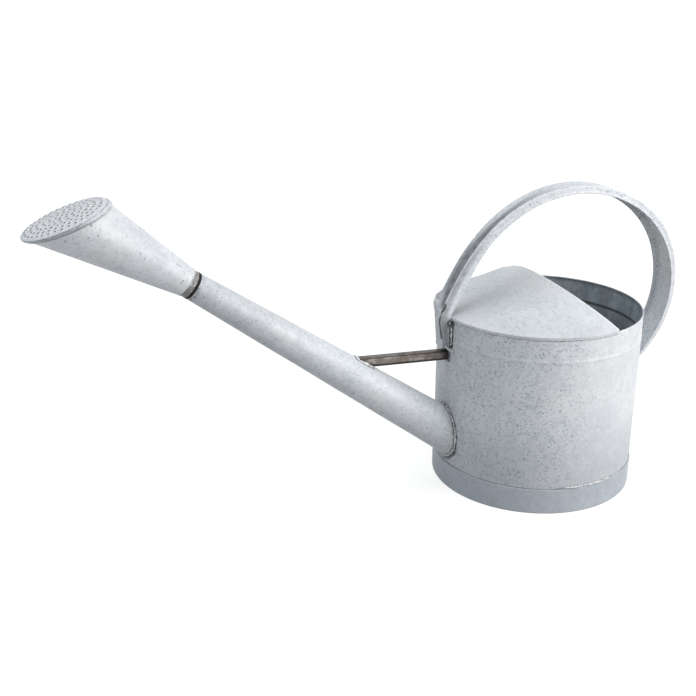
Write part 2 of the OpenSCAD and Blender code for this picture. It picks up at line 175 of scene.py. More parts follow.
class SpoutSizes(bpy.types.PropertyGroup):
    """Sizes of the spout, its weld and its brace."""
    root_height: length("Root height", "Height of the axis at the wall", SPOUT_ROOT)
    slope: degrees("Slope", "Slope of the axis", SPOUT_SLOPE)
    taper_length: length("Taper length", "Length of the taper along the axis", TAPER)
    root_radius: length("Root radius", "Outer radius at the wall", 0.0237)
    end_radius: length("End radius", "Outer radius at the end of the taper", 0.0139)
    spigot_radius: length("Spigot radius", "Outer radius of the spigot", 0.0132)
    spigot_length: length("Spigot length", "Length of the spigot", SPIGOT)
    sheet: length("Sheet", "Thickness of the spout's sheet", 0.0008)
    weld: length("Weld", "Radius of the weld bead", 0.0016)
    brace_width: length("Brace width", "Outer width of the square brace",
                        2 * greatest("brace", "y"))
    brace_height: length("Brace height", "Height of the brace's middle at the wall",
                         BRACE_HEIGHT)
    brace_slope: degrees("Brace slope", "Slope of the brace", 2.5)


class RoseSizes(bpy.types.PropertyGroup):
    """Sizes of the rose and its seal."""
    seal_radius: length("Seal radius", "Outer radius of the seal",
                        greatest("rose_seal", "y", 5))
    seal_width: length("Seal width", "Width of the seal along the spout", 0.003)
    neck_radius: length("Neck radius", "Outer radius of the neck sleeve",
                        greatest("rose_neck", "y", 5))
    neck_length: length("Neck length", "Length of the neck sleeve", 0.019)
    neck_show: length("Neck showing", "Length of the sleeve below the cone", 0.006)
    reach: length("Reach", "Distance from the taper's end to the face's middle", 0.1355)
    face_radius: length("Face radius", "Outer radius of the face", greatest("rose_face", "y"))
    face_tilt: degrees("Face tilt", "Upward tilt of the face", 33.8)
    face_drop: length("Face drop", "How far the face's middle lies below the axis", 0.0046)
    dome: length("Dome", "Height of the face's dome", 0.0024)
    band: length("Band", "Height of the band that clamps the face", 0.005)
    hole_radius: length("Hole radius", "Radius of the holes", 0.00085)
    hole_pitch: length("Hole pitch", "Distance between the rings of holes", 0.0061)
    hole_rings: bpy.props.IntProperty(name="Hole rings", default=6, min=1, max=8,
                                      description="Rings of holes round the middle one")
    sheet: length("Sheet", "Thickness of the rose's sheet", 0.0007)


class MetalColours(bpy.types.PropertyGroup):
    """Colours of the can's finishes."""
    zinc: colour("Zinc", "Clean galvanised sheet", (0.655, 0.675, 0.70))
    zinc_cloud: colour("Zinc cloud", "Duller clouds in the galvanising", (0.52, 0.555, 0.60))
    fleck: colour("Fleck", "Dark flecks in the galvanising", (0.20, 0.235, 0.29))
    foot: colour("Foot zinc", "Greyer sheet of the foot band", (0.425, 0.465, 0.51))
    inside: colour("Inside", "Dull sheet inside the can", (0.48, 0.54, 0.59))
    solder: colour("Solder", "Bright solder", (0.62, 0.63, 0.64))
    # Besides soot, this colour paints shade: the handle's crack, the line under the hood's lip,
    # and the rose's holes and collar edges.
    tint: colour("Scorch", "Soot and heat tint by the welds", (0.045, 0.040, 0.043))
    steel: colour("Bare steel", "Darkened steel of the brace", (0.17, 0.145, 0.13))
    rubber: colour("Rubber", "Seal ring", (0.012, 0.011, 0.011))


class StudioSettings(bpy.types.PropertyGroup):
    """Camera and light."""
    camera_place: bpy.props.FloatVectorProperty(
        name="Camera", description="Place of the camera", size=3, subtype="TRANSLATION",
        unit="LENGTH", default=(-0.5663, -0.9189, 0.5500))
    azimuth: degrees("Azimuth", "Turn of the camera to the left of +Y", 20.5, -180, 180)
    elevation: degrees("Elevation", "How far the camera looks down", 20.905, -90, 90)
    lens: bpy.props.FloatProperty(name="Lens", description="Focal length in millimetres",
                                  default=52.93, min=10, max=300, unit="CAMERA")
    world_light: share("Sky light", "Strength of the even light from all round", 0.38, 0, 2)


GROUPS = (("can_sizes", CanSizes), ("hood_sizes", HoodSizes), ("handle_sizes", HandleSizes),
          ("spout_sizes", SpoutSizes), ("rose_sizes", RoseSizes),
          ("metal_colours", MetalColours), ("studio", StudioSettings))


# ---- grids and shells ----

def unit(v):
    """Vectors along the last axis, each divided by its length."""
    return v / np.linalg.norm(v, axis=-1, keepdims=True)


def ease(x, low, high):
    """0 below low, 1 above high, and the smooth cubic 3t^2 - 2t^3 between them."""
    t = np.clip((x - low) / (high - low), 0, 1)
    return t * t * (3 - 2 * t)


def most(*values):
    """The highest of several arrays, point by point."""
    return reduce(np.maximum, values)


def turns(count):
    """Even angles round a full turn."""
    return FULL_TURN * np.arange(count) / count


def spokes(a, first, second):
    """Directions at angles a, from the first direction towards the second."""
    return np.cos(a)[:, None] * first + np.sin(a)[:, None] * second


def off_axis(points, base, axis):
    """How far along an axis each point lies, and the way from the axis out to it."""
    along = (points - base) @ axis
    return along, points - base - along[:, None] * axis


def rise(x, low, high):
    """0 below low and 1 above high, where both are in millimetres, and smooth between."""
    return ease(x, low * MM, high * MM)


def fall(x, low, high):
    """1 below low and 0 above high, in millimetres, and smooth between."""
    return 1 - rise(x, low, high)


def ripple(points, size, seed):
    """Smooth unevenness between -1 and 1: the mean of eight sine waves that run through space
    in fixed odd directions, each with a wavelength near size."""
    rng = np.random.default_rng(seed)
    waves = unit(rng.normal(size=(8, 3))) * FULL_TURN / (size * rng.uniform(0.7, 1.5, (8, 1)))
    return np.sin(points @ waves.T + rng.uniform(0, FULL_TURN, 8)).mean(-1, keepdims=True)


def waved(face, height, size, seed, fade, normal):
    """A sheet's face with a slow unevenness up to height, in millimetres, as hand-worked sheet
    has."""
    return face + height * MM * ripple(face, size, seed) * fade * normal


def sheet_loop(face, normal, thickness, round_steps=3):
    """Closed outline round a sheet, from its outer face line.

    The line runs along the second last axis. The loop follows the face, turns round the far
    edge on a half circle, comes back one thickness below and turns round the near edge.
    """
    thickness = np.broadcast_to(thickness, face[..., :1].shape)
    turn = np.linspace(0, math.pi, round_steps + 2)[1:-1, None]

    def edge(end, before, direction):
        half = thickness[..., end, :][..., None, :] / 2
        along = unit(face[..., end, :] - face[..., before, :])[..., None, :]
        across = normal[..., end, :][..., None, :]
        middle = face[..., end, :][..., None, :] - half * across
        bow = np.cos(turn) * across * direction + np.sin(turn) * along
        return middle + half * bow

    far = edge(-1, -2, 1)
    near = edge(0, 1, -1)
    back = (face - thickness * normal)[..., ::-1, :]
    return np.concatenate([face, far, back, near], axis=-2)


def grid_faces(rows, columns, closed):
    """Four-sided faces over a grid of points numbered row by row. Each row is a closed
    outline, and the last row runs on into the first one when closed."""
    i = np.arange(rows if closed else rows - 1)[:, None]
    j = np.arange(columns)[None, :]
    i2, j2 = (i + 1) % rows, (j + 1) % columns
    corners = [i * columns + j, i2 * columns + j, i2 * columns + j2, i * columns + j2]
    return np.stack([np.broadcast_to(c, (i.size, j.size)) for c in corners], -1).reshape(-1, 4)


def link_object(name, data):
    """A mesh, a lamp or a camera put in the scene as an object at the origin."""
    made = bpy.data.objects.new(name, data)
    bpy.context.scene.collection.objects.link(made)
    return made


def new_object(name, points, faces, smooth=True):
    """A mesh object from an array of points and a list of faces."""
    mesh = bpy.data.meshes.new(name)
    mesh.from_pydata(np.asarray(points, float).reshape(-1, 3), [], faces)
    if mesh.validate():
        raise RuntimeError(f"{name} has faces that don't hold together")
    mesh.shade_smooth() if smooth else mesh.shade_flat()
    return link_object(name, mesh)


def grid_object(name, grid, closed=True):
    """A mesh from rows of closed outlines. Without closed, one flat face ends each side."""
    rows, columns = grid.shape[:2]
    faces = grid_faces(rows, columns, closed).tolist()
    if not closed:
        faces += [list(range(columns - 1, -1, -1)),
                  list(range((rows - 1) * columns, rows * columns))]
    return new_object(name, grid, faces)


def discard(piece):
    """Removes a helper object and its mesh."""
    mesh = piece.data
    bpy.data.objects.remove(piece)
    bpy.data.meshes.remove(mesh)


def join_objects(name, parts):
    """Several mesh objects made into one, under a new name."""
    mesh = bmesh.new()
    for part in parts:
        mesh.from_mesh(part.data)
        discard(part)
    data = bpy.data.meshes.new(name)
    mesh.to_mesh(data)
    mesh.free()
    data.shade_smooth()
    return link_object(name, data)


def vectors(items, key):
    """One vector of every vertex or face, as an array."""
    flat = np.empty(len(items) * 3, np.float32)
    items.foreach_get(key, flat)
    return flat.reshape(-1, 3).astype(float)


def points_of(piece):
    """Every vertex of a piece."""
    return vectors(piece.data.vertices, "co")


def face_middles(piece):
    """The middle of every face of a piece."""
    return vectors(piece.data.polygons, "center")


def move_points(piece, spots):
    """Puts every vertex of a piece at a new place."""
    piece.data.vertices.foreach_set("co", spots.astype(np.float32).ravel())
    piece.data.update()


def set_weight(piece, name, values):
    """A number on every vertex, for a material to read."""
    layer = piece.data.attributes.new(name, "FLOAT", "POINT")
    layer.data.foreach_set("value", np.ascontiguousarray(values, np.float32).ravel())


def nearness(points, targets, core, reach):
    """1 within core of the nearest target, 0 beyond reach from it, both in millimetres, and
    smooth between. Only the points inside the targets' own box, grown by reach, are measured,
    block by block."""
    low, high = targets.min(0) - reach * MM, targets.max(0) + reach * MM
    close = np.flatnonzero(((points > low) & (points < high)).all(-1))
    result = np.zeros(len(points))
    for block in np.array_split(close, max(1, len(close) // 4000)):
        gaps = ((points[block][:, None, :] - targets[None, :, :]) ** 2).sum(-1)
        result[block] = fall(np.sqrt(gaps.min(-1)), core, reach)
    return result


@contextmanager
def opened(piece):
    """A piece's mesh, opened for an edit and written back after it."""
    mesh = bmesh.new()
    mesh.from_mesh(piece.data)
    yield mesh
    mesh.to_mesh(piece.data)
    mesh.free()


def sharpen(piece, angle):
    """Smooth shading that breaks at edges sharper than the angle, in degrees."""
    limit = math.radians(angle)
    with opened(piece) as mesh:
        for edge in mesh.edges:
            edge.smooth = not (edge.is_manifold and edge.calc_face_angle(0) > limit)
    return piece


def turn_outwards(piece):
    """Turns every face of a closed piece outwards."""
    with opened(piece) as mesh:
        bmesh.ops.recalc_face_normals(mesh, faces=mesh.faces)
    piece.data.shade_smooth()


def close_poles(piece, radius):
    """Draws every point within radius of the Z axis onto it and merges what meets there."""
    spots = points_of(piece)
    spots[np.hypot(spots[:, 0], spots[:, 1]) < radius, :2] = 0
    move_points(piece, spots)
    with opened(piece) as mesh:
        bmesh.ops.remove_doubles(mesh, verts=mesh.verts, dist=1e-6)
        bmesh.ops.dissolve_degenerate(mesh, edges=mesh.edges, dist=1e-7)
    return sharpen(piece, 40)


def revolve(profile, t):
    """A closed (radius, height) outline carried round Z to the angles t: x = r cos t,
    y = r sin t."""
    t = t[:, None]
    r, z = profile[None, :, 0], profile[None, :, 1]
    return np.stack([r * np.cos(t), r * np.sin(t), z + 0 * t], -1)


def circle(a):
    """Points of the unit circle at angles a."""
    return np.stack([np.cos(a), np.sin(a)], -1)


def arc(centre, radius, start, end, steps):
    """Points of a circular arc in the plane, between two angles in degrees."""
    return np.asarray(centre) + radius * circle(np.radians(np.linspace(start, end, steps)))


def line(start, end, steps):
    """Evenly spaced points between two points, without the last one."""
    t = np.arange(steps)[:, None] / steps
    return np.asarray(start) * (1 - t) + np.asarray(end) * t


def tube(path, radius, sides, closed):
    """A round bar along a path. Each ring is turned square to the path, and radius may be one
    number or one for each ring."""
    ahead = np.roll(path, -1, 0) if closed else np.concatenate([path[1:], path[-1:]])
    behind = np.roll(path, 1, 0) if closed else np.concatenate([path[:1], path[:-1]])
    along = unit(ahead - behind)
    out = path - path.mean(0)
    out = unit(out - np.sum(out * along, axis=-1, keepdims=True) * along)
    over = np.cross(along, out)
    a = turns(sides)[None, :, None]
    r = np.broadcast_to(np.asarray(radius).reshape(-1, 1, 1), (len(path), 1, 1))
    return path[:, None, :] + r * (np.cos(a) * out[:, None, :] + np.sin(a) * over[:, None, :])


def lumpy_bead(name, path, radius, lump, seed, closed=True, rough=1.0):
    """A bead of weld or solder along a path: a round bar whose thickness swells and shrinks
    with the ripple of its path, and whose skin is roughened by a finer ripple. An open bead
    runs out to rounded ends."""
    swell = 1 + 0.7 * rough * ripple(path, lump, seed)[:, 0]
    if not closed:
        t = np.linspace(-1, 1, len(path))
        swell = swell * np.sqrt(np.clip(1.02 - t ** 10, 0.02, 1))
    skin = tube(path, radius * swell, 14, closed)
    normal = unit(skin - path[:, None, :])
    size = np.asarray(radius).reshape(-1, 1, 1)
    skin = skin + 0.3 * rough * size * ripple(skin, lump * 0.4, seed + 1) * normal
    return grid_object(name, skin, closed)


def lay_on(piece, base, axis, radius, taper=0.0):
    """Flattens a bead's underside in the middle of a round sheet, so that none of it comes out
    on the other side: a point nearer the axis than the radius, which falls by taper along the
    axis, moves straight out to it."""
    spots = points_of(piece)
    along, off = off_axis(spots, base, axis)
    distance = np.maximum(np.linalg.norm(off, axis=-1), 1e-6)
    missing = np.maximum(0, (radius - taper * along) / distance - 1)
    move_points(piece, spots + off * missing[:, None])
    return piece


def lay_on_wall(piece, can):
    """A bead laid on the can's wall."""
    return lay_on(piece, np.zeros(3), UP, can.radius - 0.5 * can.sheet)


def lay_on_spout(piece, can, s):
    """A bead laid on the spout."""
    return lay_on(piece, spout_root(can), spout_axes(s)[0], s.root_radius - 0.5 * s.sheet,
                  spout_taper(s))


def darken_contact(piece, distances, low, high):
    """Marks a bead's skin as burnt where it runs out on the metal under it, from low to high
    millimetres over it."""
    set_weight(piece, "soot_and_painted_shade", fall(distances, low, high))


# ---- materials ----

class Nodes:
    """Short ways to add nodes to a node tree."""

    def __init__(self, tree):
        self.tree = tree

    def add(self, kind, inputs=None, **settings):
        """One node with its settings; an input given as a socket is linked."""
        made = self.tree.nodes.new("ShaderNode" + kind)
        for key, value in settings.items():
            setattr(made, key, value)
        for key, value in (inputs or {}).items():
            if isinstance(value, bpy.types.NodeSocket):
                self.tree.links.new(value, made.inputs[key])
            else:
                made.inputs[key].default_value = value
        return made

    def ramp(self, value, low, high, start=0.0, end=1.0, smooth=True):
        """The value carried from low..high to start..end and held there."""
        return self.add("MapRange", {"Value": value, "From Min": low, "From Max": high,
                                     "To Min": start, "To Max": end},
                        interpolation_type="SMOOTHSTEP" if smooth else "LINEAR"
                        ).outputs["Result"]

    def level(self, value, start, end):
        """A value from 0 to 1 carried straight to start..end."""
        return self.ramp(value, 0.0, 1.0, start, end, smooth=False)

    def math(self, operation, a, b):
        """One arithmetic step."""
        return self.add("Math", {0: a, 1: b}, operation=operation).outputs["Value"]

    def times(self, a, b):
        """One value multiplied by another."""
        return self.math("MULTIPLY", a, b)

    def vector(self, operation, inputs):
        """One step of vector arithmetic."""
        return self.add("VectorMath", inputs, operation=operation).outputs["Vector"]

    def mix(self, factor, a, b, blend="MIX"):
        """One colour mixed into another; a colour may be three numbers or a socket."""
        a, b = (c if isinstance(c, bpy.types.NodeSocket) else (*c, 1.0) for c in (a, b))
        return self.add("Mix", {"Factor": factor, 6: a, 7: b}, data_type="RGBA",
                        blend_type=blend).outputs[2]

    def seen_directly(self):
        """1 where the lens, a glossy face or glass looks, and 0 for soft bounced light."""
        ray = self.add("LightPath").outputs
        seen = self.math("MAXIMUM", ray["Is Camera Ray"], ray["Is Glossy Ray"])
        return self.math("MAXIMUM", seen, ray["Is Transmission Ray"])


class Graph(Nodes):
    """The nodes of one material, in the object's own coordinates."""

    def __init__(self, name):
        self.material = bpy.data.materials.new(name)
        self.material.use_nodes = True
        super().__init__(self.material.node_tree)
        self.shader = self.tree.nodes["Principled BSDF"]
        self.place = self.add("TexCoord").outputs["Object"]

    def noise(self, scale, detail, roughness, distortion=0.0, place=None):
        """Noise whose features are about 1/scale metres wide."""
        return self.add("TexNoise", {"Vector": place or self.place, "Scale": scale,
                                     "Detail": detail, "Roughness": roughness,
                                     "Distortion": distortion}).outputs["Fac"]

    def stretch(self, scale):
        """The place, stretched by a factor on each axis."""
        return self.add("Mapping", {"Vector": self.place, "Scale": scale}).outputs["Vector"]

    def cells(self, place, scale):
        """Cells about 1/scale metres wide: the distance to each one's middle, and three
        numbers of its own."""
        made = self.add("TexVoronoi", {"Vector": place, "Scale": scale, "Randomness": 1.0},
                        feature="F1").outputs
        return made["Distance"], self.add("SeparateColor", {"Color": made["Color"]}).outputs

    def specks(self, scale, size, share):
        """Spots about 2 size/scale metres wide, one in some of the cells of a Voronoi pattern
        whose place is stirred by noise, so that no spot is round. Share is how many of the
        cells have one."""
        stir = self.add("TexNoise", {"Vector": self.place, "Scale": scale * 1.6,
                                     "Detail": 2.0}).outputs["Color"]
        stir = self.vector("SUBTRACT", {0: stir, 1: (0.5, 0.5, 0.5)})
        stir = self.vector("SCALE", {0: stir, "Scale": 0.9 / scale})
        distance, own = self.cells(self.vector("ADD", {0: self.place, 1: stir}), scale)
        chosen = self.ramp(own[0], share + 0.04, share - 0.04)
        spot = self.ramp(self.math("ADD", distance, self.times(own[1], 0.45 * size)),
                         size * 1.25, size * 0.7)
        return self.times(spot, chosen)

    def weight(self, name):
        """A number kept on the vertices."""
        return self.add("Attribute", attribute_name=name).outputs["Fac"]

    def finish(self, colour, roughness, metallic, height, relief, strength):
        """Joins the colour, roughness and relief to the shader; the relief is in metres."""
        link = self.tree.links.new
        link(colour, self.shader.inputs["Base Color"])
        link(roughness, self.shader.inputs["Roughness"])
        self.shader.inputs["Metallic"].default_value = metallic
        bump = self.add("Bump", {"Height": height, "Distance": relief, "Strength": strength})
        link(bump.outputs["Normal"], self.shader.inputs["Normal"])
        return self.material


def toned(colour, factor):
    """A colour made darker or lighter."""
    return tuple(factor * c for c in colour)


SHEET_GLOSS = 0.12              # the metallic share of weathered zinc
# Pale zinc for painted highlights and painted light, and for some wear on edges.
HIGHLIGHT_AND_WEAR_ZINC = (0.82, 0.825, 0.83)
MILL_STEEL = (0.53, 0.485, 0.455)


def galvanised(name, colours, clean, flecks, dense, offset=(0.0, 0.0, 0.0), blot=0.55,
               low_dirt_and_shade=None, fade=None, cloud=None, fleck=None):
    """Galvanised sheet: soft clouds, faint crystals of zinc, dark flecks, coarser blots that
    gather in a few patches, pale zinc for painted highlights, painted light and wear, darker
    zinc for dirt and painted shade, and near black for soot and painted shade, each where its
    vertex weight is high.

    Flecks and blot are the strengths of the two kinds of spot, and dense how many flecks there
    are. Offset moves the whole pattern. The foot heights, when given, are those between which
    the foot of a piece clears up: it is darker below them, partly dirt and partly painted
    shade.
    Fade gives the X between which its spots thin out."""
    cloud, fleck = cloud or colours.zinc_cloud, fleck or colours.fleck
    g = Graph(name)
    body = g.place
    g.place = g.add("Mapping", {"Vector": body, "Location": offset}).outputs["Vector"]
    clouds = g.ramp(g.noise(16, 4, 0.6, 0.4), 0.34, 0.68)
    mottle = g.ramp(g.noise(120, 4, 0.62, 0.5), 0.32, 0.68)
    patches = g.ramp(g.noise(42, 3, 0.6, 0.6), 0.36, 0.60)
    crystal = g.cells(g.place, 190)[1][0]
    worms = g.ramp(g.noise(400, 3, 0.65, 0.9), 0.54, 0.64)
    spots = g.math("MAXIMUM", g.specks(360, 0.29, 0.6 * dense),
                   g.times(worms, min(1.0, 0.35 + 0.5 * dense)))
    spots = g.times(spots, g.level(patches, 0.5, 1.0))
    blots = g.times(g.specks(290, 0.30, 0.55), g.ramp(g.noise(34, 2, 0.5), 0.53, 0.62))
    if fade:
        along = g.add("SeparateXYZ", {"Vector": body}).outputs["X"]
        spots = g.times(spots, g.ramp(along, *fade, 1.0, 0.2))
        blots = g.times(blots, g.ramp(along, *fade, 1.0, 0.1))
    grain = g.math("MAXIMUM", g.times(spots, flecks), g.times(blots, blot))
    colour = g.mix(g.times(clouds, 0.45), clean, cloud)
    colour = g.mix(g.times(mottle, 0.30), colour, cloud)
    shade = g.level(crystal, 0.95, 1.05)
    tone = g.add("CombineColor", {0: shade, 1: shade, 2: shade}).outputs["Color"]
    colour = g.mix(1.0, colour, tone, "MULTIPLY")
    # Darker towards the foot: partly dirt, partly painted shade.
    if low_dirt_and_shade:
        height = g.add("SeparateXYZ", {"Vector": body}).outputs["Z"]
        colour = g.mix(g.ramp(height, *low_dirt_and_shade, 0.46, 0.0), colour, toned(cloud, 0.62))
    # Pale zinc where the weight says: painted highlights and painted light, with some wear.
    colour = g.mix(g.weight("wear_and_painted_light"), colour, HIGHLIGHT_AND_WEAR_ZINC)
    colour = g.mix(grain, colour, fleck)
    # Darker where the weight says: dirt, and painted shade in the handle's channel and on the
    # rose's collar.
    dirt_and_painted_shade = g.times(g.weight("dirt_and_painted_shade"), g.level(mottle, 0.75, 1.0))
    colour = g.mix(dirt_and_painted_shade, colour, toned(cloud, 0.24))
    # Near black where the weight says: soot by the welds, and painted shade in the handle's
    # crack, under the hood's lip, in the rose's holes and along its collar's edges.
    torn = g.ramp(g.noise(260, 4, 0.7, 1.0), 0.30, 0.66, 0.45, 1.5)
    soot_and_shade = g.ramp(g.times(g.weight("soot_and_painted_shade"), torn), 0.30, 0.85)
    colour = g.mix(g.times(soot_and_shade, 0.95), colour, colours.tint)
    rough = g.math("ADD", g.level(clouds, 0.50, 0.62), g.times(grain, 0.2))
    height = g.math("SUBTRACT", g.times(crystal, 0.25), grain)
    return g.finish(colour, rough, SHEET_GLOSS, height, 0.12 * MM, 0.35)


def inside_zinc(name, base):
    """Dull sheet inside the can: dark slate with runs that hang down and stains, and darker
    where the weight of soot and painted shade is high: in the can, painted shade in the bead's
    groove and low down, and a dark band under the rim."""
    g = Graph(name)
    streaks = g.ramp(g.noise(1.0, 4, 0.65, 0.3, g.stretch((60, 60, 14))), 0.35, 0.68)
    stains = g.ramp(g.noise(55, 5, 0.7, 0.8), 0.42, 0.64)
    fine = g.specks(330, 0.34, 0.4)
    colour = g.mix(streaks, toned(base, 0.85), toned(base, 1.2))
    colour = g.mix(g.times(stains, 0.5), colour, toned(base, 0.55))
    colour = g.mix(g.times(fine, 0.5), colour, toned(base, 0.35))
    # Painted shade in the bead's groove and low in the can, and a dark band under the rim.
    colour = g.mix(g.times(g.weight("soot_and_painted_shade"), 0.85), colour, toned(base, 0.16))
    return g.finish(colour, g.ramp(stains, 0.0, 1.0, 0.55, 0.75), SHEET_GLOSS, fine, 0.1 * MM,
                    0.3)


def solder_metal(name, colours, dark, bright=None, tint=None, metallic=0.4):
    """Solder and weld metal: bright lumps with burnt hollows, the more of them the higher dark
    is, and dark where a vertex weight says so: burnt where a bead runs out, and painted shade
    along the seam over the foot band."""
    bright, tint = bright or colours.solder, tint or colours.tint
    g = Graph(name)
    lumps = g.noise(500, 4, 0.65, 1.2)
    burnt = g.ramp(g.noise(260, 4, 0.7, 1.5), 0.62 - dark * 0.30, 0.72 - dark * 0.25)
    colour = g.mix(g.ramp(lumps, 0.35, 0.62), toned(bright, 0.6), bright)
    colour = g.mix(g.times(burnt, 0.85), colour, tint)
    colour = g.mix(g.times(g.weight("soot_and_painted_shade"), 0.95), colour, toned(tint, 0.55))
    return g.finish(colour, g.ramp(burnt, 0.0, 1.0, 0.30, 0.6), metallic, lumps, 0.6 * MM, 0.7)


def bare_steel(name, dark):
    """Darkened mill steel: lengthwise drawn streaks, worn lighter on the flats, near black
    along the corners and at the burnt ends."""
    g = Graph(name)
    drawn = g.ramp(g.noise(1.0, 4, 0.6, 0.2, g.stretch((30, 420, 420))), 0.32, 0.68)
    wear_and_painted_light = g.ramp(g.noise(75, 4, 0.7, 0.8), 0.36, 0.62)
    black = toned(dark, 0.12)
    colour = g.mix(g.times(drawn, wear_and_painted_light), dark, MILL_STEEL)
    colour = g.mix(g.weight("flat"), black, colour)
    colour = g.mix(g.weight("soot_and_painted_shade"), colour, black)
    return g.finish(colour, g.ramp(wear_and_painted_light, 0.0, 1.0, 0.62, 0.38), 0.4, drawn, 0.2 * MM, 0.4)


def seal_rubber(name, black):
    """Matt black rubber with a little dust."""
    g = Graph(name)
    dust = g.ramp(g.noise(300, 4, 0.7), 0.5, 0.75)
    base = g.mix(g.times(dust, 0.12), black, (0.07, 0.045, 0.04))
    g.shader.inputs["Specular IOR Level"].default_value = 0.15
    return g.finish(base, g.ramp(dust, 0.0, 1.0, 0.6, 0.85), 0.0, dust, 0.1 * MM, 0.3)


def dress(piece, slot, body, node, *materials):
    """Gives a piece its materials, hangs it under the empty of the body that it rides on, and
    hides the solid that it stands for.
    """
    for material in materials:
        piece.data.materials.append(material)
    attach(piece, body)
    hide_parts(node)


def paint_inside(piece, inside):
    """Second material on the faces that the mask picks."""
    piece.data.polygons.foreach_set("material_index", inside.astype(np.int32))


# ---- shapes that several pieces share ----

def spout_axes(s):
    """The directions of the spout's axis, its upper side and its left side."""
    axis = np.array([-math.cos(s.slope), 0, math.sin(s.slope)])
    upper = np.array([math.sin(s.slope), 0, math.cos(s.slope)])
    return axis, upper, np.array([0, 1.0, 0])


def spout_taper(s):
    """How much the spout's radius falls for each metre along its axis."""
    return (s.root_radius - s.end_radius) / s.taper_length


def spout_root(can):
    """Where the spout's axis crosses the wall."""
    return np.array([-can.radius, 0, bpy.context.scene.spout_sizes.root_height])


def wall_crossing(can, s, a, radius, drum):
    """Where straight lines down the tapering spout at angles a meet a drum of some radius:
    the outer root of (x^2 + y^2 = drum^2) along each line."""
    axis, upper, left = spout_axes(s)
    side = spokes(a, upper, left)
    start = spout_root(can) + radius * side
    run = axis - spout_taper(s) * side
    qa = (run[:, :2] ** 2).sum(-1)
    qb = (start[:, :2] * run[:, :2]).sum(-1)
    qc = (start[:, :2] ** 2).sum(-1) - drum ** 2
    distance = (-qb + np.sqrt(qb ** 2 - qa * qc)) / qa
    return start + run * distance[:, None], distance


def spout_outline(can, s):
    """The outline where the spout meets the wall."""
    return wall_crossing(can, s, np.linspace(0, FULL_TURN, 200), s.root_radius, can.radius)[0]


def foot_corner(can, h, side):
    """The corner between one folded edge of the handle's front foot and the wall."""
    y = side * (h.front_width / 2 + 0.9 * MM)
    z = np.linspace(can.height - h.front_foot + 2 * MM, can.height - 11 * MM, 60)
    x = -math.sqrt((can.radius + 0.5 * MM) ** 2 - y ** 2)
    return np.stack([x + 0.3 * MM * np.sin(z * 700), y + 0.25 * MM * np.sin(z * 460 + side), z],
                    -1)


def brace_foot(can, s, grow):
    """The brace's square outline on the wall, grown by a margin."""
    half = s.brace_width / 2 + grow
    edge = np.linspace(-half, half, 24)
    flat = np.full(24, half)
    y = np.concatenate([edge, flat, -edge, -flat])
    z = np.concatenate([flat, -edge, -flat, edge]) + s.brace_height
    return np.stack([-np.sqrt(can.radius ** 2 - y ** 2), y, z], -1)


KNEE, ARC, CROWN, HEEL, SOLE, FOOT_END = 1.0, 1.2, 2, 3, 3.2, 4


def handle_path(can, h):
    """Side view of the handle's outer face: x, z, angle of the outward normal, and place.

    The foot runs up to a knee, a straight stretch leads to a wide front arc and a tighter rear
    arc that share a tangent, and a heel turns down to the rear foot. The places are the numbers
    above.
    """
    steps, r, join = 26, can.radius, h.arc_join
    crown_z = can.height + h.rise
    knee = np.array([-r - h.standoff + h.knee, can.height + 2 * MM])
    dx, dz = h.top_back - knee[0], crown_z - knee[1]
    front_r = (dx ** 2 + dz ** 2 - h.knee ** 2 - h.straight ** 2) / (2 * (dz - h.knee))
    front_c = np.array([h.top_back, crown_z - front_r])
    gap = front_c - knee
    up = (math.pi / 2 + math.atan2(gap[1], gap[0])
          + math.asin((front_r - h.knee) / np.linalg.norm(gap)))
    rear_r = (r + h.bow - h.top_back - front_r * math.cos(join)) / (1 - math.cos(join))
    rear_c = front_c + (front_r - rear_r) * circle(join)
    face = r + CLEARANCE + h.sheet
    heel_a = -math.acos((face + h.heel - rear_c[0]) / (rear_r + h.heel))
    heel_c = rear_c + (rear_r + h.heel) * circle(heel_a)
    before_knee = KNEE - 0.02

    def bend(centre, radius, start, end, count, p0, p1):
        a = np.linspace(start, end, count)
        return np.column_stack([centre + radius * circle(a), a, np.linspace(p0, p1, count)])

    def run(start, end, angle, p0, p1):
        t = np.linspace(0, 1, steps)[:, None]
        return np.column_stack([np.asarray(start) * (1 - t) + np.asarray(end) * t,
                                np.full(steps, angle), p0 + (p1 - p0) * t])

    turn = bend(knee, h.knee, math.pi, up, steps // 2, before_knee, KNEE)
    loop = bend(front_c, front_r, up, join, 3 * steps, ARC, CROWN)
    back = bend(rear_c, rear_r, join, heel_a, 4 * steps, CROWN, HEEL)
    heel = bend(heel_c, -h.heel, heel_a, 0, steps // 2, HEEL, SOLE)
    foot = run([knee[0] - h.knee, can.height - h.front_foot], turn[0, :2], math.pi, 0,
               before_knee)
    straight = run(turn[-1, :2], loop[0, :2], up, KNEE, ARC)
    sole = run([face, heel_c[1]], [face, heel_c[1] - h.rear_foot], 0, SOLE, FOOT_END)
    return np.concatenate([foot[:-1], turn, straight[1:-1], loop, back[1:], heel[1:], sole[1:]])


def brace_run(s):
    """The brace's direction and its own up."""
    return (np.array([-math.cos(s.brace_slope), 0, math.sin(s.brace_slope)]),
            np.array([math.sin(s.brace_slope), 0, math.cos(s.brace_slope)]))


def meet_spout(can, s, where, run):
    """Points moved along a direction until they lie on the spout's cone: each step goes most
    of the way that is missing between the point's distance from the axis and the cone."""
    axis, taper = spout_axes(s)[0], spout_taper(s)
    for _ in range(40):
        along, off = off_axis(where, spout_root(can), axis)
        miss = np.linalg.norm(off, axis=-1) - (s.root_radius - taper * along + CLEARANCE)
        where = where + 0.8 * miss[:, None] * run
    return where


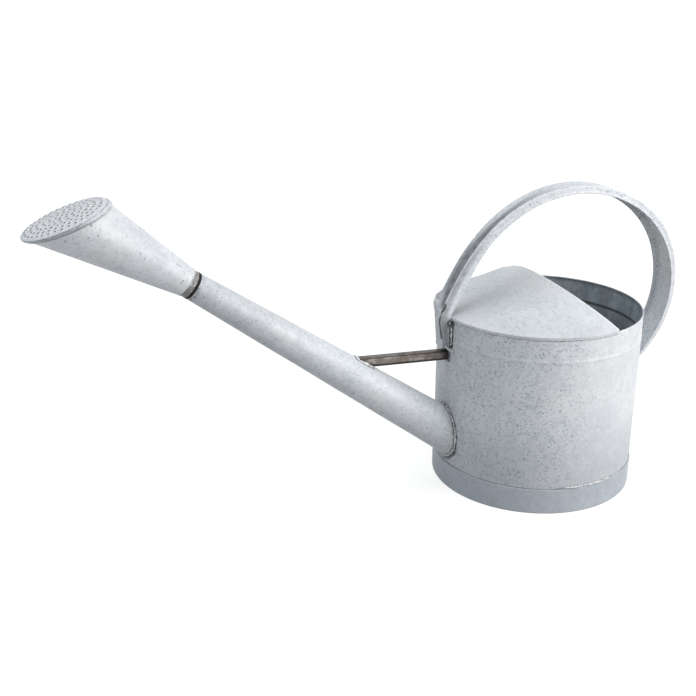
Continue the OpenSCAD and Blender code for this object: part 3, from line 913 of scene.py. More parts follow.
def brace_on_spout(can, s):
    """The brace's square outline on the spout."""
    return meet_spout(can, s, brace_foot(can, s, 0.2 * MM), brace_run(s)[0])


def rose_frame(can, s, rose):
    """The spout's taper end and the directions along and across the face."""
    axis, upper, left = spout_axes(s)
    end = spout_root(can) + s.taper_length * axis
    tilt = rose.face_tilt
    normal = math.cos(tilt) * axis + math.sin(tilt) * upper
    across = math.cos(tilt) * upper - math.sin(tilt) * axis
    middle = end + rose.reach * axis - rose.face_drop * upper
    return end, axis, upper, left, middle, normal, across


def cone_lines(can, s, rose, a, off):
    """Both ends of the cone's straight lines at angles a, off beyond its outer face: on the
    round neck and on the round mouth, which is tilted against it."""
    end, axis, upper, left, middle, normal, across = rose_frame(can, s, rose)
    neck_r = rose.neck_radius + CLEARANCE + rose.sheet + off
    mouth_r = rose.face_radius - CLEARANCE - rose.sheet + off
    start = rose.seal_width + 2 * CLEARANCE + rose.neck_show
    neck = end + start * axis + neck_r * spokes(a, upper, left)
    mouth = middle - (rose.sheet + CLEARANCE) * normal + mouth_r * spokes(a, across, left)
    return neck, mouth


# ---- operators ----

class WATERINGCAN_OT_can(bpy.types.Operator):
    """Build the can's wall, floor and foot band"""
    bl_idname = "wateringcan.can"
    bl_label = "Can"

    def execute(self, context):
        can, colours = context.scene.can_sizes, context.scene.metal_colours
        zinc = galvanised("zinc wall", colours, colours.zinc, 0.86, 1.0, blot=0.72,
                          low_dirt_and_shade=(0.035, 0.115), fade=(-0.05, 0.04))
        dull = inside_zinc("zinc inside", colours.inside)
        wall = self.wall(can)
        self.cut_outlet(wall, can, context.scene.spout_sizes)
        self.paint_wall(wall, context.scene)
        dress(wall, "zinc", "can", "body_wall", zinc, dull)
        dress(self.floor(can), "zinc_inside", "can", "base_pan", dull)
        band_zinc = galvanised("zinc foot", colours, colours.foot, 0.4, 0.25, (0.3, 0.1, 0.2),
                               cloud=toned(colours.foot, 0.88))
        band = self.foot_band(can)
        # Darker along the band's bottom edge.
        set_weight(band, "soot_and_painted_shade", 0.8 * fall(points_of(band)[:, 2], 0.5, 1.3))
        dress(band, "zinc", "can", "foot_ring", band_zinc)
        seam_metal = solder_metal("foot solder", colours, 0.6, tint=toned(colours.foot, 0.5),
                                  metallic=0.3)
        dress(self.foot_seam(can), "solder", "can", "foot_solder_seam", seam_metal)
        return {"FINISHED"}

    def wall(self, can):
        """The wall's sheet as a closed outline carried round Z. Its outer face is straight but
        for the bead, a cosine swelling, and it ends in a rolled rim, a circle on the sheet.
        The steps round the wall are closest at the spout: t + 0.55 sin t, from even t."""
        foot, top = 3 * MM, can.rim_top - 1.6 * can.rim_roll
        low, high = can.bead_height - 4 * MM, can.bead_height + 4 * MM
        stops = (foot, 0.035, 0.098, 0.143, low, high, 0.192, top)
        z = np.concatenate([np.linspace(start, stop, rows, endpoint=False) for start, stop, rows
                            in zip(stops, stops[1:], (6, 60, 15, 22, 14, 12, 8))] + [[top]])
        back_z = np.concatenate([np.linspace(foot, low, 24)[:-1],
                                 np.linspace(low, high, 13)[:-1], np.linspace(high, top, 5)])

        def face(z):
            swell = 0.5 + 0.5 * np.cos(np.clip((z - can.bead_height) / (3.2 * MM), -1, 1)
                                       * math.pi)
            return can.radius + can.bead_out * swell

        roll = arc((can.radius - can.rim_roll + 0.2 * MM, can.rim_top - can.rim_roll),
                   can.rim_roll, -20, 230, 12)
        profile = np.concatenate([np.stack([face(z), z], -1), roll,
                                  np.stack([face(back_z) - can.sheet, back_z], -1)[::-1]])
        even = turns(400)
        grid = revolve(profile, even + 0.55 * np.sin(even))
        height = grid[..., 2:]
        fade = rise(height, 12, 60) * fall(height, 150, 185)
        return grid_object("can_wall", waved(grid, 0.3, 0.16, 3, fade, unit(grid * [1, 1, 0])))

    def cut_outlet(self, wall, can, s):
        """Cuts the spout's outlet with a plain cone along its axis."""
        axis, upper, left = spout_axes(s)
        ring = spokes(turns(72), upper, left)
        rows = [spout_root(can) + run * axis
                + (s.root_radius - spout_taper(s) * run - s.sheet) * ring
                for run in (-0.045, 0.045)]
        cutter = grid_object("outlet_cutter", np.array(rows)[:, ::-1], closed=False)
        cut = wall.modifiers.new("outlet", "BOOLEAN")
        cut.operation, cut.object, cut.solver = "DIFFERENCE", cutter, "EXACT"
        bpy.context.view_layer.update()
        graph = bpy.context.evaluated_depsgraph_get()
        mesh = bpy.data.meshes.new_from_object(wall.evaluated_get(graph))
        wall.modifiers.clear()
        uncut, wall.data = wall.data, mesh
        bpy.data.meshes.remove(uncut)
        mesh.name = "can_wall"
        mesh.shade_smooth()
        discard(cutter)
        sharpen(wall, 50)

    def paint_wall(self, wall, scene):
        """Soot outside by the spout, the brace and the handle's foot, and painted shade under
        the hood's lip; inside, painted shade in the bead's groove and below it, and a dark band
        under the rim."""
        can, s = scene.can_sizes, scene.spout_sizes
        spots = points_of(wall)
        x, y, z = spots.T
        root = spout_outline(can, s)
        under = root[root[:, 2] < s.root_height - 0.6 * s.root_radius]
        soot_and_shade = most(nearness(spots, root, 1.6, 3.4), 0.42 * nearness(spots, root, 0, 11),
                    0.75 * nearness(spots, under, 2, 9),
                    nearness(spots, brace_foot(can, s, 0.2 * MM), 1.2, 4))
        for side in (-1, 1):
            corner = foot_corner(can, scene.handle_sizes, side)
            start = corner[-1:] + [0, 0.8 * side * MM, 4.2 * MM]
            soot_and_shade = most(soot_and_shade, 1.6 * nearness(spots, corner, 2.0, 3.3),
                        1.6 * nearness(spots, start, 2.2, 4.4))
        hood = scene.hood_sizes
        # Painted shade: a dark line on the wall just under the hood's lip.
        covered = x < hood.corner_back - 4 * MM
        soot_and_shade = most(soot_and_shade, 0.62 * covered * rise(z - can.height + hood.skirt, -1.5, -0.5))
        # Inside: painted shade in the bead's groove and, fainter, everywhere below it, and a
        # dark band under the rim.
        above_bead = z - can.bead_height
        inside_shade_and_stain = most(fall(np.abs(above_bead - 0.2 * MM), 0.9, 2.8),
                     0.22 * fall(above_bead, -2, 1), 0.55 * rise(z - can.rim_top, -2.6, -1.2))
        outside = np.hypot(x, y) > can.radius - 0.4 * can.sheet
        set_weight(wall, "soot_and_painted_shade", np.where(outside, soot_and_shade, inside_shade_and_stain))
        x, y, _ = face_middles(wall).T
        paint_inside(wall, np.hypot(x, y) < can.radius - 0.5 * can.sheet)

    def floor(self, can):
        """The floor, a round plate with a turned-up edge, as a closed outline round Z."""
        r, t = can.radius - can.sheet - CLEARANCE, PAN_SHEET
        top = can.floor_height
        low, edge = top - t, top - t + 10 * MM
        pole, bend = 0.8 * MM, 1.6 * MM
        profile = np.concatenate([
            line((pole, low), (r - 2 * MM, low), 10),
            arc((r - bend, low + bend), bend, -90, 0, 6),
            line((r, top + 2 * MM), (r, edge), 4), [[r, edge], [r - t, edge]],
            line((r - t, edge - MM), (r - t, top + MM), 4),
            arc((r - t - MM, top + MM), MM, 0, -90, 5),
            line((r - t - 2 * MM, top), (pole, top), 10), [[pole, top]]])
        return close_poles(grid_object("can_floor", revolve(profile, turns(128))), MM)

    def foot_band(self, can):
        """The foot band: a straight band with a rounded shoulder on top and a lip turned in at
        the bottom, carried round Z."""
        r, h = can.radius + can.foot_out, can.foot_height
        lip = can.radius - can.sheet - 5 * MM
        bend, shoulder = 1.3 * MM, 0.95 * MM
        face = np.concatenate([
            line((lip, 1.6 * MM), (lip, 0.6 * MM), 2),
            line((lip + 0.5 * MM, 0), (r - 1.6 * MM, 0), 4),
            arc((r - bend, bend), bend, -90, 0, 7),
            line((r, 2.5 * MM), (r, h - 1.4 * MM), 12),
            arc((r - shoulder, h - 1.1 * MM), shoulder, 0, 78, 7)])
        tangent = unit(np.gradient(face, axis=0))
        normal = np.stack([tangent[:, 1], -tangent[:, 0]], -1)
        loop = sheet_loop(face, normal, 0.8 * MM, 2)
        return grid_object("foot_band", revolve(loop, turns(256)))

    def foot_seam(self, can):
        """The solder fillet over the band: a thin dark line, painted shade in the seam, which
        swells to a bright lumpy smear on one stretch of the way round."""
        def from_smear(a):
            """Degrees between an angle and the middle of the smear."""
            return np.abs(np.degrees(np.angle(np.exp(1j * (a - math.radians(-80))))))

        a = turns(900)
        smear = 1 - ease(from_smear(a), 20, 27)
        path = np.stack([np.cos(a), np.sin(a), 0 * a], -1) * (can.radius + 0.15 * MM)
        path[:, 2] = can.foot_height + (0.15 + 0.8 * smear) * MM
        path[:, 2] += 0.15 * MM * ripple(path, 0.02, 9)[:, 0]
        seam = lay_on_wall(lumpy_bead("foot_solder", path, (0.30 + smear) * MM, 0.010, 7), can)
        x, y, z = points_of(seam).T
        bright = 1 - ease(from_smear(np.arctan2(y, x)), 19, 25)
        bright = bright * rise(z - can.foot_height, 0.1, 0.6)
        # Painted shade along the seam, except on the bright smear.
        set_weight(seam, "soot_and_painted_shade", 0.8 * (1 - bright))
        return seam


class WATERINGCAN_OT_hood(bpy.types.Operator):
    """Build the half cone over the front of the mouth"""
    bl_idname = "wateringcan.hood"
    bl_label = "Hood"

    def execute(self, context):
        can, hood = context.scene.can_sizes, context.scene.hood_sizes
        colours = context.scene.metal_colours
        piece = self.sheet(can, hood)
        x, _, z = points_of(piece).T
        up = z - can.height
        edge = x - hood.corner_back + up * math.tan(hood.lean)
        near_rim = up < (x + hood.skirt_radius) * math.tan(hood.pitch) + 5 * MM
        # Painted shade along the lower edge of the skirt, where it laps the wall.
        set_weight(piece, "soot_and_painted_shade", 0.55 * fall(up + hood.skirt, 0, 0.9))
        # Pale zinc: a painted highlight with some wear along the free edge, and painted light
        # on the front and the crest.
        set_weight(piece, "wear_and_painted_light", most(rise(edge, -1.5, -0.3) * near_rim,
                                       0.42 * fall(x, -104, -66), 0.35 * rise(up, 18, 36)))
        # Darker towards the bottom of the hood.
        set_weight(piece, "dirt_and_painted_shade", 0.13 * fall(up, 2, 14))
        dress(piece, "zinc", "can", "hood",
              galvanised("zinc hood", colours, toned(colours.zinc, 0.925), 0.55, 0.5,
                         (0.7, 0.2, 0.0), blot=0.7, fade=(-0.04, 0.07)))
        return {"FINISHED"}

    def sheet(self, can, hood):
        """Straight lines from the rim's circle towards the cone's tip, cut off by the leaning
        plane of the free edge, over a skirt. The crest drops a little towards the edge on one
        side, and the sheet thickens to a hem."""
        tip = np.array([hood.apex_back, 0,
                        (hood.skirt_radius + hood.apex_back) * math.tan(hood.pitch)])
        end = math.acos(-hood.corner_back / hood.skirt_radius) - math.radians(1.5)
        a = np.linspace(end, -end, 241)[:, None]
        base = hood.skirt_radius * np.concatenate([-np.cos(a), np.sin(a), 0 * a], -1)
        run = tip - base
        run = run * ((hood.corner_back - base[:, :1])
                     / (run[:, :1] + run[:, 2:] * math.tan(hood.lean)))
        u = (1 - (1 - np.linspace(0, 1, 60)) ** 2)[None, :, None]
        side = a[:, None]
        crest = ease(side, 0.3, 0.9) * (1 - 0.5 * ease(side, 1.3, 1.8))
        lift = crest * (0.8 * MM * ease(u, 0.45, 0.8) - 2.4 * MM * ease(u, 0.8, 1.0))
        cone = base[:, None] + u * run[:, None] + lift * UP
        rows = 6
        drop = np.linspace(hood.skirt, 0.6 * MM, rows)[None, :, None]
        face = np.concatenate([base[:, None] - drop * UP, cone], 1) + can.height * UP
        normal = unit(np.cross(np.gradient(face, axis=0), np.gradient(face, axis=1)))
        fade = np.concatenate([np.zeros((1, rows, 1)), ease(u, 0.02, 0.2)], 1)
        face = waved(face, 0.35, 0.11, 21, fade, normal)
        slant = np.linalg.norm(run, axis=-1)[:, None, None]
        hem = fall((1 - u) * slant, 2.2, 3.2) * rise(slant, 8, 20)
        hem = np.concatenate([np.zeros((len(a), rows, 1)), hem], 1)
        loop = sheet_loop(face, normal, hood.sheet * (1 + 1.3 * hem), 5)
        return sharpen(grid_object("hood_sheet", loop, closed=False), 40)


def staged(place, value, *stages):
    """A value along the handle that goes smoothly to a new one between two places, in as many
    stages as are given."""
    total = value
    for low, high, new in stages:
        total = total + (new - value) * ease(place, low, high)
        value = new
    return total


class WATERINGCAN_OT_handle(bpy.types.Operator):
    """Build the bowed channel handle and the solder at its feet"""
    bl_idname = "wateringcan.handle"
    bl_label = "Handle"

    def execute(self, context):
        can, h = context.scene.can_sizes, context.scene.handle_sizes
        colours = context.scene.metal_colours
        zinc = galvanised("zinc handle", colours, colours.zinc, 0.70, 1.0, (0.1, 0.8, 0.4))
        dress(self.strap(can, h), "zinc", "can", "handle", zinc)
        metal = solder_metal("handle solder", colours, 0.3)
        dress(self.front_solder(can, h), "solder", "can", "handle_front_solder", metal)
        dress(self.rear_solder(can, h), "solder", "can", "handle_rear_solder", metal)
        return {"FINISHED"}

    def strap(self, can, h):
        """The channel carried along the handle's path. It stands out a little more above the
        knee and at the rear, leans in at the front foot, wraps onto the wall at the rear foot,
        and has one folded edge pressed out to an ear at the knee."""
        x, z, angle, place = handle_path(can, h).T
        half = staged(place, h.front_width, (1.1, 2.5, h.rear_width)) / 2
        lean = np.clip((can.height + 6 * MM - z) / 0.036, 0, 1)
        shift = (2.0 * rise(z, 202, 222) * fall(z, 235, 285) - 3.0 * lean) * (place < 1.6)
        shift = shift + 1.4 * ease(place, CROWN, 2.3) * (1 - ease(place, 2.70, 2.86))
        x, z = x + shift * MM * np.cos(angle), z + shift * MM * np.sin(angle)
        depth = shift * MM + staged(place, h.front_edge, (1.1, CROWN, h.top_edge),
                                    (CROWN, 2.6, h.rear_edge),
                                    (2.85, 3.05, h.sheet + CLEARANCE))
        dish = 2.8 * MM * (ease(place, 0.75, KNEE) * (1 - 0.85 * ease(place, 1.40, 1.62))
                           * (1 - ease(place, 2.3, 2.9)))
        loop = self.channel(half, depth, dish, h.sheet)
        x, z, angle, place, half = (each[:, None] for each in (x, z, angle, place, half))
        up, y = z - can.height, loop[..., 0]
        sag = can.radius - np.sqrt(can.radius ** 2 - y ** 2)
        inward = loop[..., 1] + ease(place, 3.05, SOLE) * sag
        ear = fall(np.abs(up - 15 * MM), 3, 12) * (place < 1.3)
        ear = ear * ease(y / half, 0.35, 1.0) * fall(inward, 3, 9)
        y, inward = y + 3.5 * MM * ear, inward - 2.6 * MM * ear
        grid = np.stack([x - inward * np.cos(angle), y, z - inward * np.sin(angle)], -1)
        strap = grid_object("handle_strap", grid, closed=False)
        self.paint(sharpen(strap, 40), can, h, y, up, place, half, loop)
        return strap

    def paint(self, strap, can, h, y, up, place, half, loop):
        """A painted shadow in the crack line and soot by the solder; dirt and painted shade in
        the channel and along the near fold, and darker zinc down one side; painted highlights
        on the ridges, painted light on the rear and a small bright spot on the far ear."""
        across, depth = loop[..., 0], loop[..., 1]
        # Painted shadow: the dark crack where the near folded edge overlaps the web.
        from_fold = y + half - np.where(across < 0.4 * MM - half, depth, 0)
        below = fall(up, -1, 11)
        wander = (7.0 * below - 1.2 - 2.8 * fall(up, -20, -2)) * MM
        crack_shadow = fall(np.abs(from_fold - wander) / (1 + 0.7 * below), 0.9, 1.7)
        reached = fall(up, 12, 18) * rise(up, -25, -22) * (place < ARC)
        soot_and_shade = (2.6 * crack_shadow * reached * (depth < 4 * MM)).ravel()
        spots = points_of(strap)
        for side in (-1, 1):
            soot_and_shade = most(soot_and_shade, 1.4 * nearness(spots, foot_corner(can, h, side), 1.8, 3.0))
        set_weight(strap, "soot_and_painted_shade", soot_and_shade)

        fraction = np.clip(across / half, -1, 1)
        web = depth < 5 * MM
        low, end = 1 - ease(place, 1.38, 1.70), 1 - ease(place, 1.7, CROWN)
        edge = 0.85 - 0.42 * ease(place, ARC, 1.5) - 0.36 * fall(up, 19, 31) * (place < 1.6)
        channel = (1 - ease(fraction, edge - 0.5, edge + 0.15)) * (fraction > -0.9) * web
        channel = channel * np.where(place > 1.3, 1, rise(up, 7, 13))
        side = (fraction < -0.9) * fall(depth, 4.8, 9.5)
        groove = (1 - ease(np.abs(fraction + 0.93), 0.0, 0.08)) * web
        # Dirt and painted shade in the dished channel and along the near fold, darker zinc down
        # the near side, and the ridges left clear as painted highlights.
        dirt_and_painted_shade = most(0.95 * channel * low,
                     0.62 * side * (1 - 0.92 * ease(place, ARC, 1.40)) * end,
                     0.28 * groove * (1 - low) * end,
                     0.10 * ease(place, 1.9, 2.2) * (fraction < -0.96))
        ridge = ease(np.abs(fraction), 0.92, 0.97) * (depth < 1.2 * MM) * low
        ridge = ridge * np.where(place > 1.3, 1, rise(up, 8, 15))
        set_weight(strap, "dirt_and_painted_shade", (dirt_and_painted_shade * (1 - ridge)).ravel())

        # Painted light on the rear, painted highlights on the ridges and a small bright spot on
        # the far ear.
        rear = 0.95 * ease(place, CROWN, 2.25) * (1 - ease(place, 2.42, 2.65))
        rear = rear * (depth > 0.5 * MM) * (np.abs(fraction) < 0.96)
        bright_spot = ease(fraction, 0.40, 0.65) * fall(np.abs(up - 14 * MM), 1, 2.6) * (place < 1.3)
        set_weight(strap, "wear_and_painted_light", most(0.25 * ridge, rear, bright_spot).ravel())

    def channel(self, half, depth, dish, sheet):
        """Outline of the channel at every station, as (across, depth): up one folded edge
        from its hemmed free end, over a rounded fold, across the web, which is dished between
        two ridges, and back the same way."""
        fold, ridge = 1.3 * MM, 1.6 * MM
        half, depth = half[:, None], np.maximum(depth, fold + 0.05 * MM)[:, None]
        t = np.linspace(0, 1, 9)[None, :-1]
        hem = 0.35 * MM * fall((depth - fold) * t, 1, 2) * rise(depth, 3, 5)
        edge = np.stack([-half - hem, depth + (fold - depth) * t], -1)
        a = np.linspace(0, math.pi / 2, 7)
        bend = np.stack([-half + fold - fold * np.cos(a), fold - fold * np.sin(a) + 0 * half],
                        -1)
        across = (half - fold) * (2 * np.linspace(0, 1, 26)[None, 1:-1] - 1)
        sunk = dish[:, None] * (1 - np.clip(np.abs(across) / (half - ridge), 0, 1) ** 2.4)
        left = np.concatenate([edge, bend], 1)
        face = np.concatenate([left, np.stack([across, sunk], -1), left[:, ::-1] * [-1, 1]], 1)
        turn = unit(np.gradient(face, axis=1))
        return sheet_loop(face, np.stack([turn[..., 1], -turn[..., 0]], -1), sheet, 4)

    def front_solder(self, can, h):
        """A bead in the corner between each folded edge and the wall, each under a small ring
        where the bead was started: a circle in the upright plane across the corner. A drip
        runs off the near bead's foot along a curve with three control points."""
        beads = []
        for side in (-1, 1):
            path = foot_corner(can, h, side)
            beads.append(lumpy_bead(f"bead_{side}", path, 1.35 * MM, 0.007, 33 + side,
                                    closed=False, rough=0.6))
            middle = path[-1] + [-1.5 * MM, 0.4 * side * MM, 4.2 * MM]
            across = unit(np.array([0.94, 0.35 * side, 0]))
            ring = middle + 3.0 * MM * spokes(turns(40), across, 1.1 * UP)
            beads.append(lumpy_bead(f"start_{side}", ring, 0.8 * MM, 0.004, 37 + side,
                                    rough=0.5))
        corner = np.array([-can.radius, -h.front_width / 2, can.height - h.front_foot])
        first, second, last = corner + MM * np.array([[-8.6, -0.9, 4.4], [-2.6, -1.2, -2.6],
                                                      [0.4, -6.4, -3.0]])
        t = np.linspace(0, 1, 40)[:, None]
        run = (1 - t) ** 2 * first + 2 * t * (1 - t) * second + t ** 2 * last
        drip = lumpy_bead("drip", run, 1.1 * MM, 0.006, 43, closed=False, rough=0.8)
        drip_points = len(drip.data.vertices)
        made = lay_on_wall(join_objects("handle_front_solder_bead", beads + [drip]), can)
        x, y, z = points_of(made).T
        dark = fall(np.minimum(np.hypot(x, y) - can.radius, np.abs(y) - h.front_width / 2),
                    0.3, 0.9)
        rings = (z > can.height - 10.4 * MM) & (np.arange(len(x)) < len(x) - drip_points)
        set_weight(made, "soot_and_painted_shade", np.where(rings, np.maximum(dark, 0.85), dark))
        return made

    def rear_solder(self, can, h):
        """A bead round three sides of the rear foot, laid on the wall."""
        foot = handle_path(can, h)[-1, 1]
        low, half = foot - 0.6 * MM, h.rear_width / 2 + 0.4 * MM
        down = np.linspace(foot + h.rear_foot - 8 * MM, low, 30)
        over = np.linspace(-half, half, 50)[1:-1]
        y = np.concatenate([0 * down - half, over, 0 * down + half])
        z = np.concatenate([down, 0 * over + low, down[::-1]])
        path = np.stack([np.sqrt((can.radius + 0.35 * MM) ** 2 - y ** 2), y, z], -1)
        bead = lumpy_bead("handle_rear_solder_bead", path, 0.75 * MM, 0.008, 31, closed=False)
        x, y, _ = points_of(lay_on_wall(bead, can)).T
        darken_contact(bead, np.hypot(x, y) - can.radius, 0, 0.4)
        return bead


class WATERINGCAN_OT_spout(bpy.types.Operator):
    """Build the tapering spout and its weld"""
    bl_idname = "wateringcan.spout"
    bl_label = "Spout"

    def execute(self, context):
        can, s = context.scene.can_sizes, context.scene.spout_sizes
        colours = context.scene.metal_colours
        tube = self.tube(can, s)
        self.paint(tube, can, s)
        zinc = galvanised("zinc spout", colours, toned(colours.zinc, 0.95), 0.62, 0.7,
                          (0.35, 0.45, 0.8), blot=0.75)
        dress(tube, "zinc", "can", "spout", zinc, inside_zinc("zinc bore", colours.inside))
        dress(self.weld(can, s), "weld", "can", "spout_weld",
              solder_metal("weld metal", colours, 0.45))
        return {"FINISHED"}

    def tube(self, can, s):
        """Straight lines from the wall down the taper, a rounded step at its end and the
        spigot, as a sheet with its inner face."""
        axis, upper, left = spout_axes(s)
        lines = 144
        a, taper = -turns(lines), spout_taper(s)
        side = spokes(a, upper, left)
        start = wall_crossing(can, s, a, s.root_radius, can.radius - 0.3 * MM)[1][:, None]
        along = start + (s.taper_length - start) * np.linspace(0, 1, 170)[None, :] ** 1.3
        radius = s.root_radius - taper * along
        spigot = np.linspace(MM, s.spigot_length, 10)
        beyond = s.taper_length + np.concatenate([np.array([0.12, 0.2, 0.5]) * MM, spigot])
        step = np.zeros(len(beyond))
        step[:2] = 0.75, 0.1
        narrow = s.spigot_radius + (s.end_radius - s.spigot_radius) * step
        along = np.concatenate([along, np.tile(beyond, (lines, 1))], 1)[..., None]
        radius = np.concatenate([radius, np.tile(narrow, (lines, 1))], 1)[..., None]
        face = spout_root(can) + along * axis + radius * side[:, None]
        normal = np.broadcast_to(unit(side[:, None] + taper * axis), face.shape)
        fade = rise(along, 10, 50) * fall(along, 280, 325)
        face = waved(face, 0.25, 0.09, 41, fade, normal)
        return sharpen(grid_object("spout_tube", sheet_loop(face, normal, s.sheet, 2)), 40)

    def paint(self, tube, can, s):
        """Soot by the weld, the brace and the taper's end, and dirt on the outer half."""
        root, (axis, upper, _) = spout_root(can), spout_axes(s)
        spots, ring = points_of(tube), spout_outline(can, s)
        reach = (spots - root) @ axis
        near_tip = fall(np.abs(reach - s.taper_length + 0.5 * MM), 1.5, 9)
        low_side = rise((root - spots) @ upper, -8, 6)
        set_weight(tube, "soot_and_painted_shade", most(
            nearness(spots, ring, 1.5, 3.2), 0.45 * nearness(spots, ring, 0, 13),
            near_tip * (0.35 + 0.13 * low_side),
            0.7 * nearness(spots, brace_on_spout(can, s), 1.5, 5)))
        set_weight(tube, "dirt_and_painted_shade", 0.19 * ease(reach / s.taper_length, 0.55, 0.85))
        far, off = off_axis(face_middles(tube), root, axis)
        outside = np.where(far < s.taper_length, s.root_radius - spout_taper(s) * far,
                           s.spigot_radius)
        paint_inside(tube, np.linalg.norm(off, axis=-1) < outside - 0.55 * s.sheet)

    def weld(self, can, s):
        """A bead along the crossing of the spout and the wall."""
        path = wall_crossing(can, s, turns(560), s.root_radius + 0.2 * MM,
                             can.radius + 0.3 * MM)[0]
        weld = lumpy_bead("spout_weld_bead", path, s.weld, 0.0060, 51)
        spots = points_of(lay_on_wall(lay_on_spout(weld, can, s), can))
        along, off = off_axis(spots, spout_root(can), spout_axes(s)[0])
        over_spout = np.linalg.norm(off, axis=-1) - s.root_radius + spout_taper(s) * along
        over_wall = np.hypot(spots[:, 0], spots[:, 1]) - can.radius
        darken_contact(weld, np.minimum(over_wall, over_spout), 0.15, 0.75)
        return weld


class WATERINGCAN_OT_brace(bpy.types.Operator):
    """Build the square brace between the wall and the spout"""
    bl_idname = "wateringcan.brace"
    bl_label = "Brace"

    def execute(self, context):
        can, s = context.scene.can_sizes, context.scene.spout_sizes
        colours = context.scene.metal_colours
        dress(self.tube(can, s), "bare_steel", "can", "brace",
              bare_steel("brace steel", colours.steel))
        ring = self.square(s.brace_width / 2 + 0.5 * MM, 1.8 * MM, 30)
        at_wall, at_spout = self.ends(can, s, ring)
        weld = lumpy_bead("brace_wall_weld_bead", at_wall + [0.2 * MM, 0, 0], MM, 0.006, 61)
        set_weight(lay_on_wall(weld, can), "soot_and_painted_shade", np.full(len(weld.data.vertices), 0.65))
        dress(weld, "weld", "can", "brace_wall_weld",
              solder_metal("brace weld metal", colours, 0.6))
        solder = lumpy_bead("brace_spout_solder_bead", at_spout, 1.6 * MM, 0.006, 71, rough=1.3)
        dress(lay_on_spout(solder, can, s), "solder", "can", "brace_spout_solder",
              solder_metal("brace solder metal", colours, 0.25))
        return {"FINISHED"}

    def tube(self, can, s):
        """The square tube, outer and inner skin, and how far each point of the outer one lies
        from the dark edges: they are wider underneath and on one side."""
        half, rows = s.brace_width / 2, 60
        outline, inner = self.square(half, 1.3 * MM, 13), self.square(half - 1.5 * MM,
                                                                      0.6 * MM, 13)
        t = np.linspace(0, 1, rows)[:, None, None]

        def skin(outline):
            start, stop = self.ends(can, s, outline)
            return start[None] * (1 - t) + stop[None] * t

        piece = grid_object("brace_tube", np.concatenate([skin(outline), skin(inner)[::-1]]))
        turn_outwards(piece)
        wide, tall = half - np.abs(outline).T
        margin = np.where(outline[:, 1] > 0, 0.5, 2.3)
        lip = np.where(outline[:, 0] < 0, 0.4, 1.4)
        flat = np.where(wide < 0.2 * MM, rise(tall, margin, margin + 1),
                        0.38 * rise(wide, lip, lip + 1))
        flat = np.tile(flat, rows)
        set_weight(sharpen(piece, 50), "flat", np.concatenate([flat, 0 * flat]))
        spots = points_of(piece)
        set_weight(piece, "soot_and_painted_shade", most(nearness(spots, brace_foot(can, s, 0), 3, 13),
                                         0.6 * nearness(spots, brace_on_spout(can, s), 2, 6)))
        return piece

    def square(self, half, corner, steps):
        """Square outline with rounded corners in (across, up)."""
        signs = np.array([(1, 1), (-1, 1), (-1, -1), (1, -1)])
        corners = [arc(sign * (half - corner), corner, 90 * k, 90 * k + 90, 7)
                   for k, sign in enumerate(signs)]
        return np.concatenate([part for here, after in zip(corners, corners[1:] + corners[:1])
                               for part in (here, line(here[-1], after[0], steps)[1:])])

    def ends(self, can, s, outline):
        """Where lines along the brace through the outline meet the wall, and the spout."""
        run, lift = brace_run(s)
        start = (np.array([-can.radius, 0, s.brace_height])
                 + outline[:, :1] * spout_axes(s)[2] + outline[:, 1:] * lift)
        drum = can.radius + CLEARANCE
        gap = start[:, 0] + np.sqrt(drum ** 2 - start[:, 1] ** 2)
        at_wall = start + run * (gap / math.cos(s.brace_slope))[:, None]
        return at_wall, meet_spout(can, s, at_wall, run)


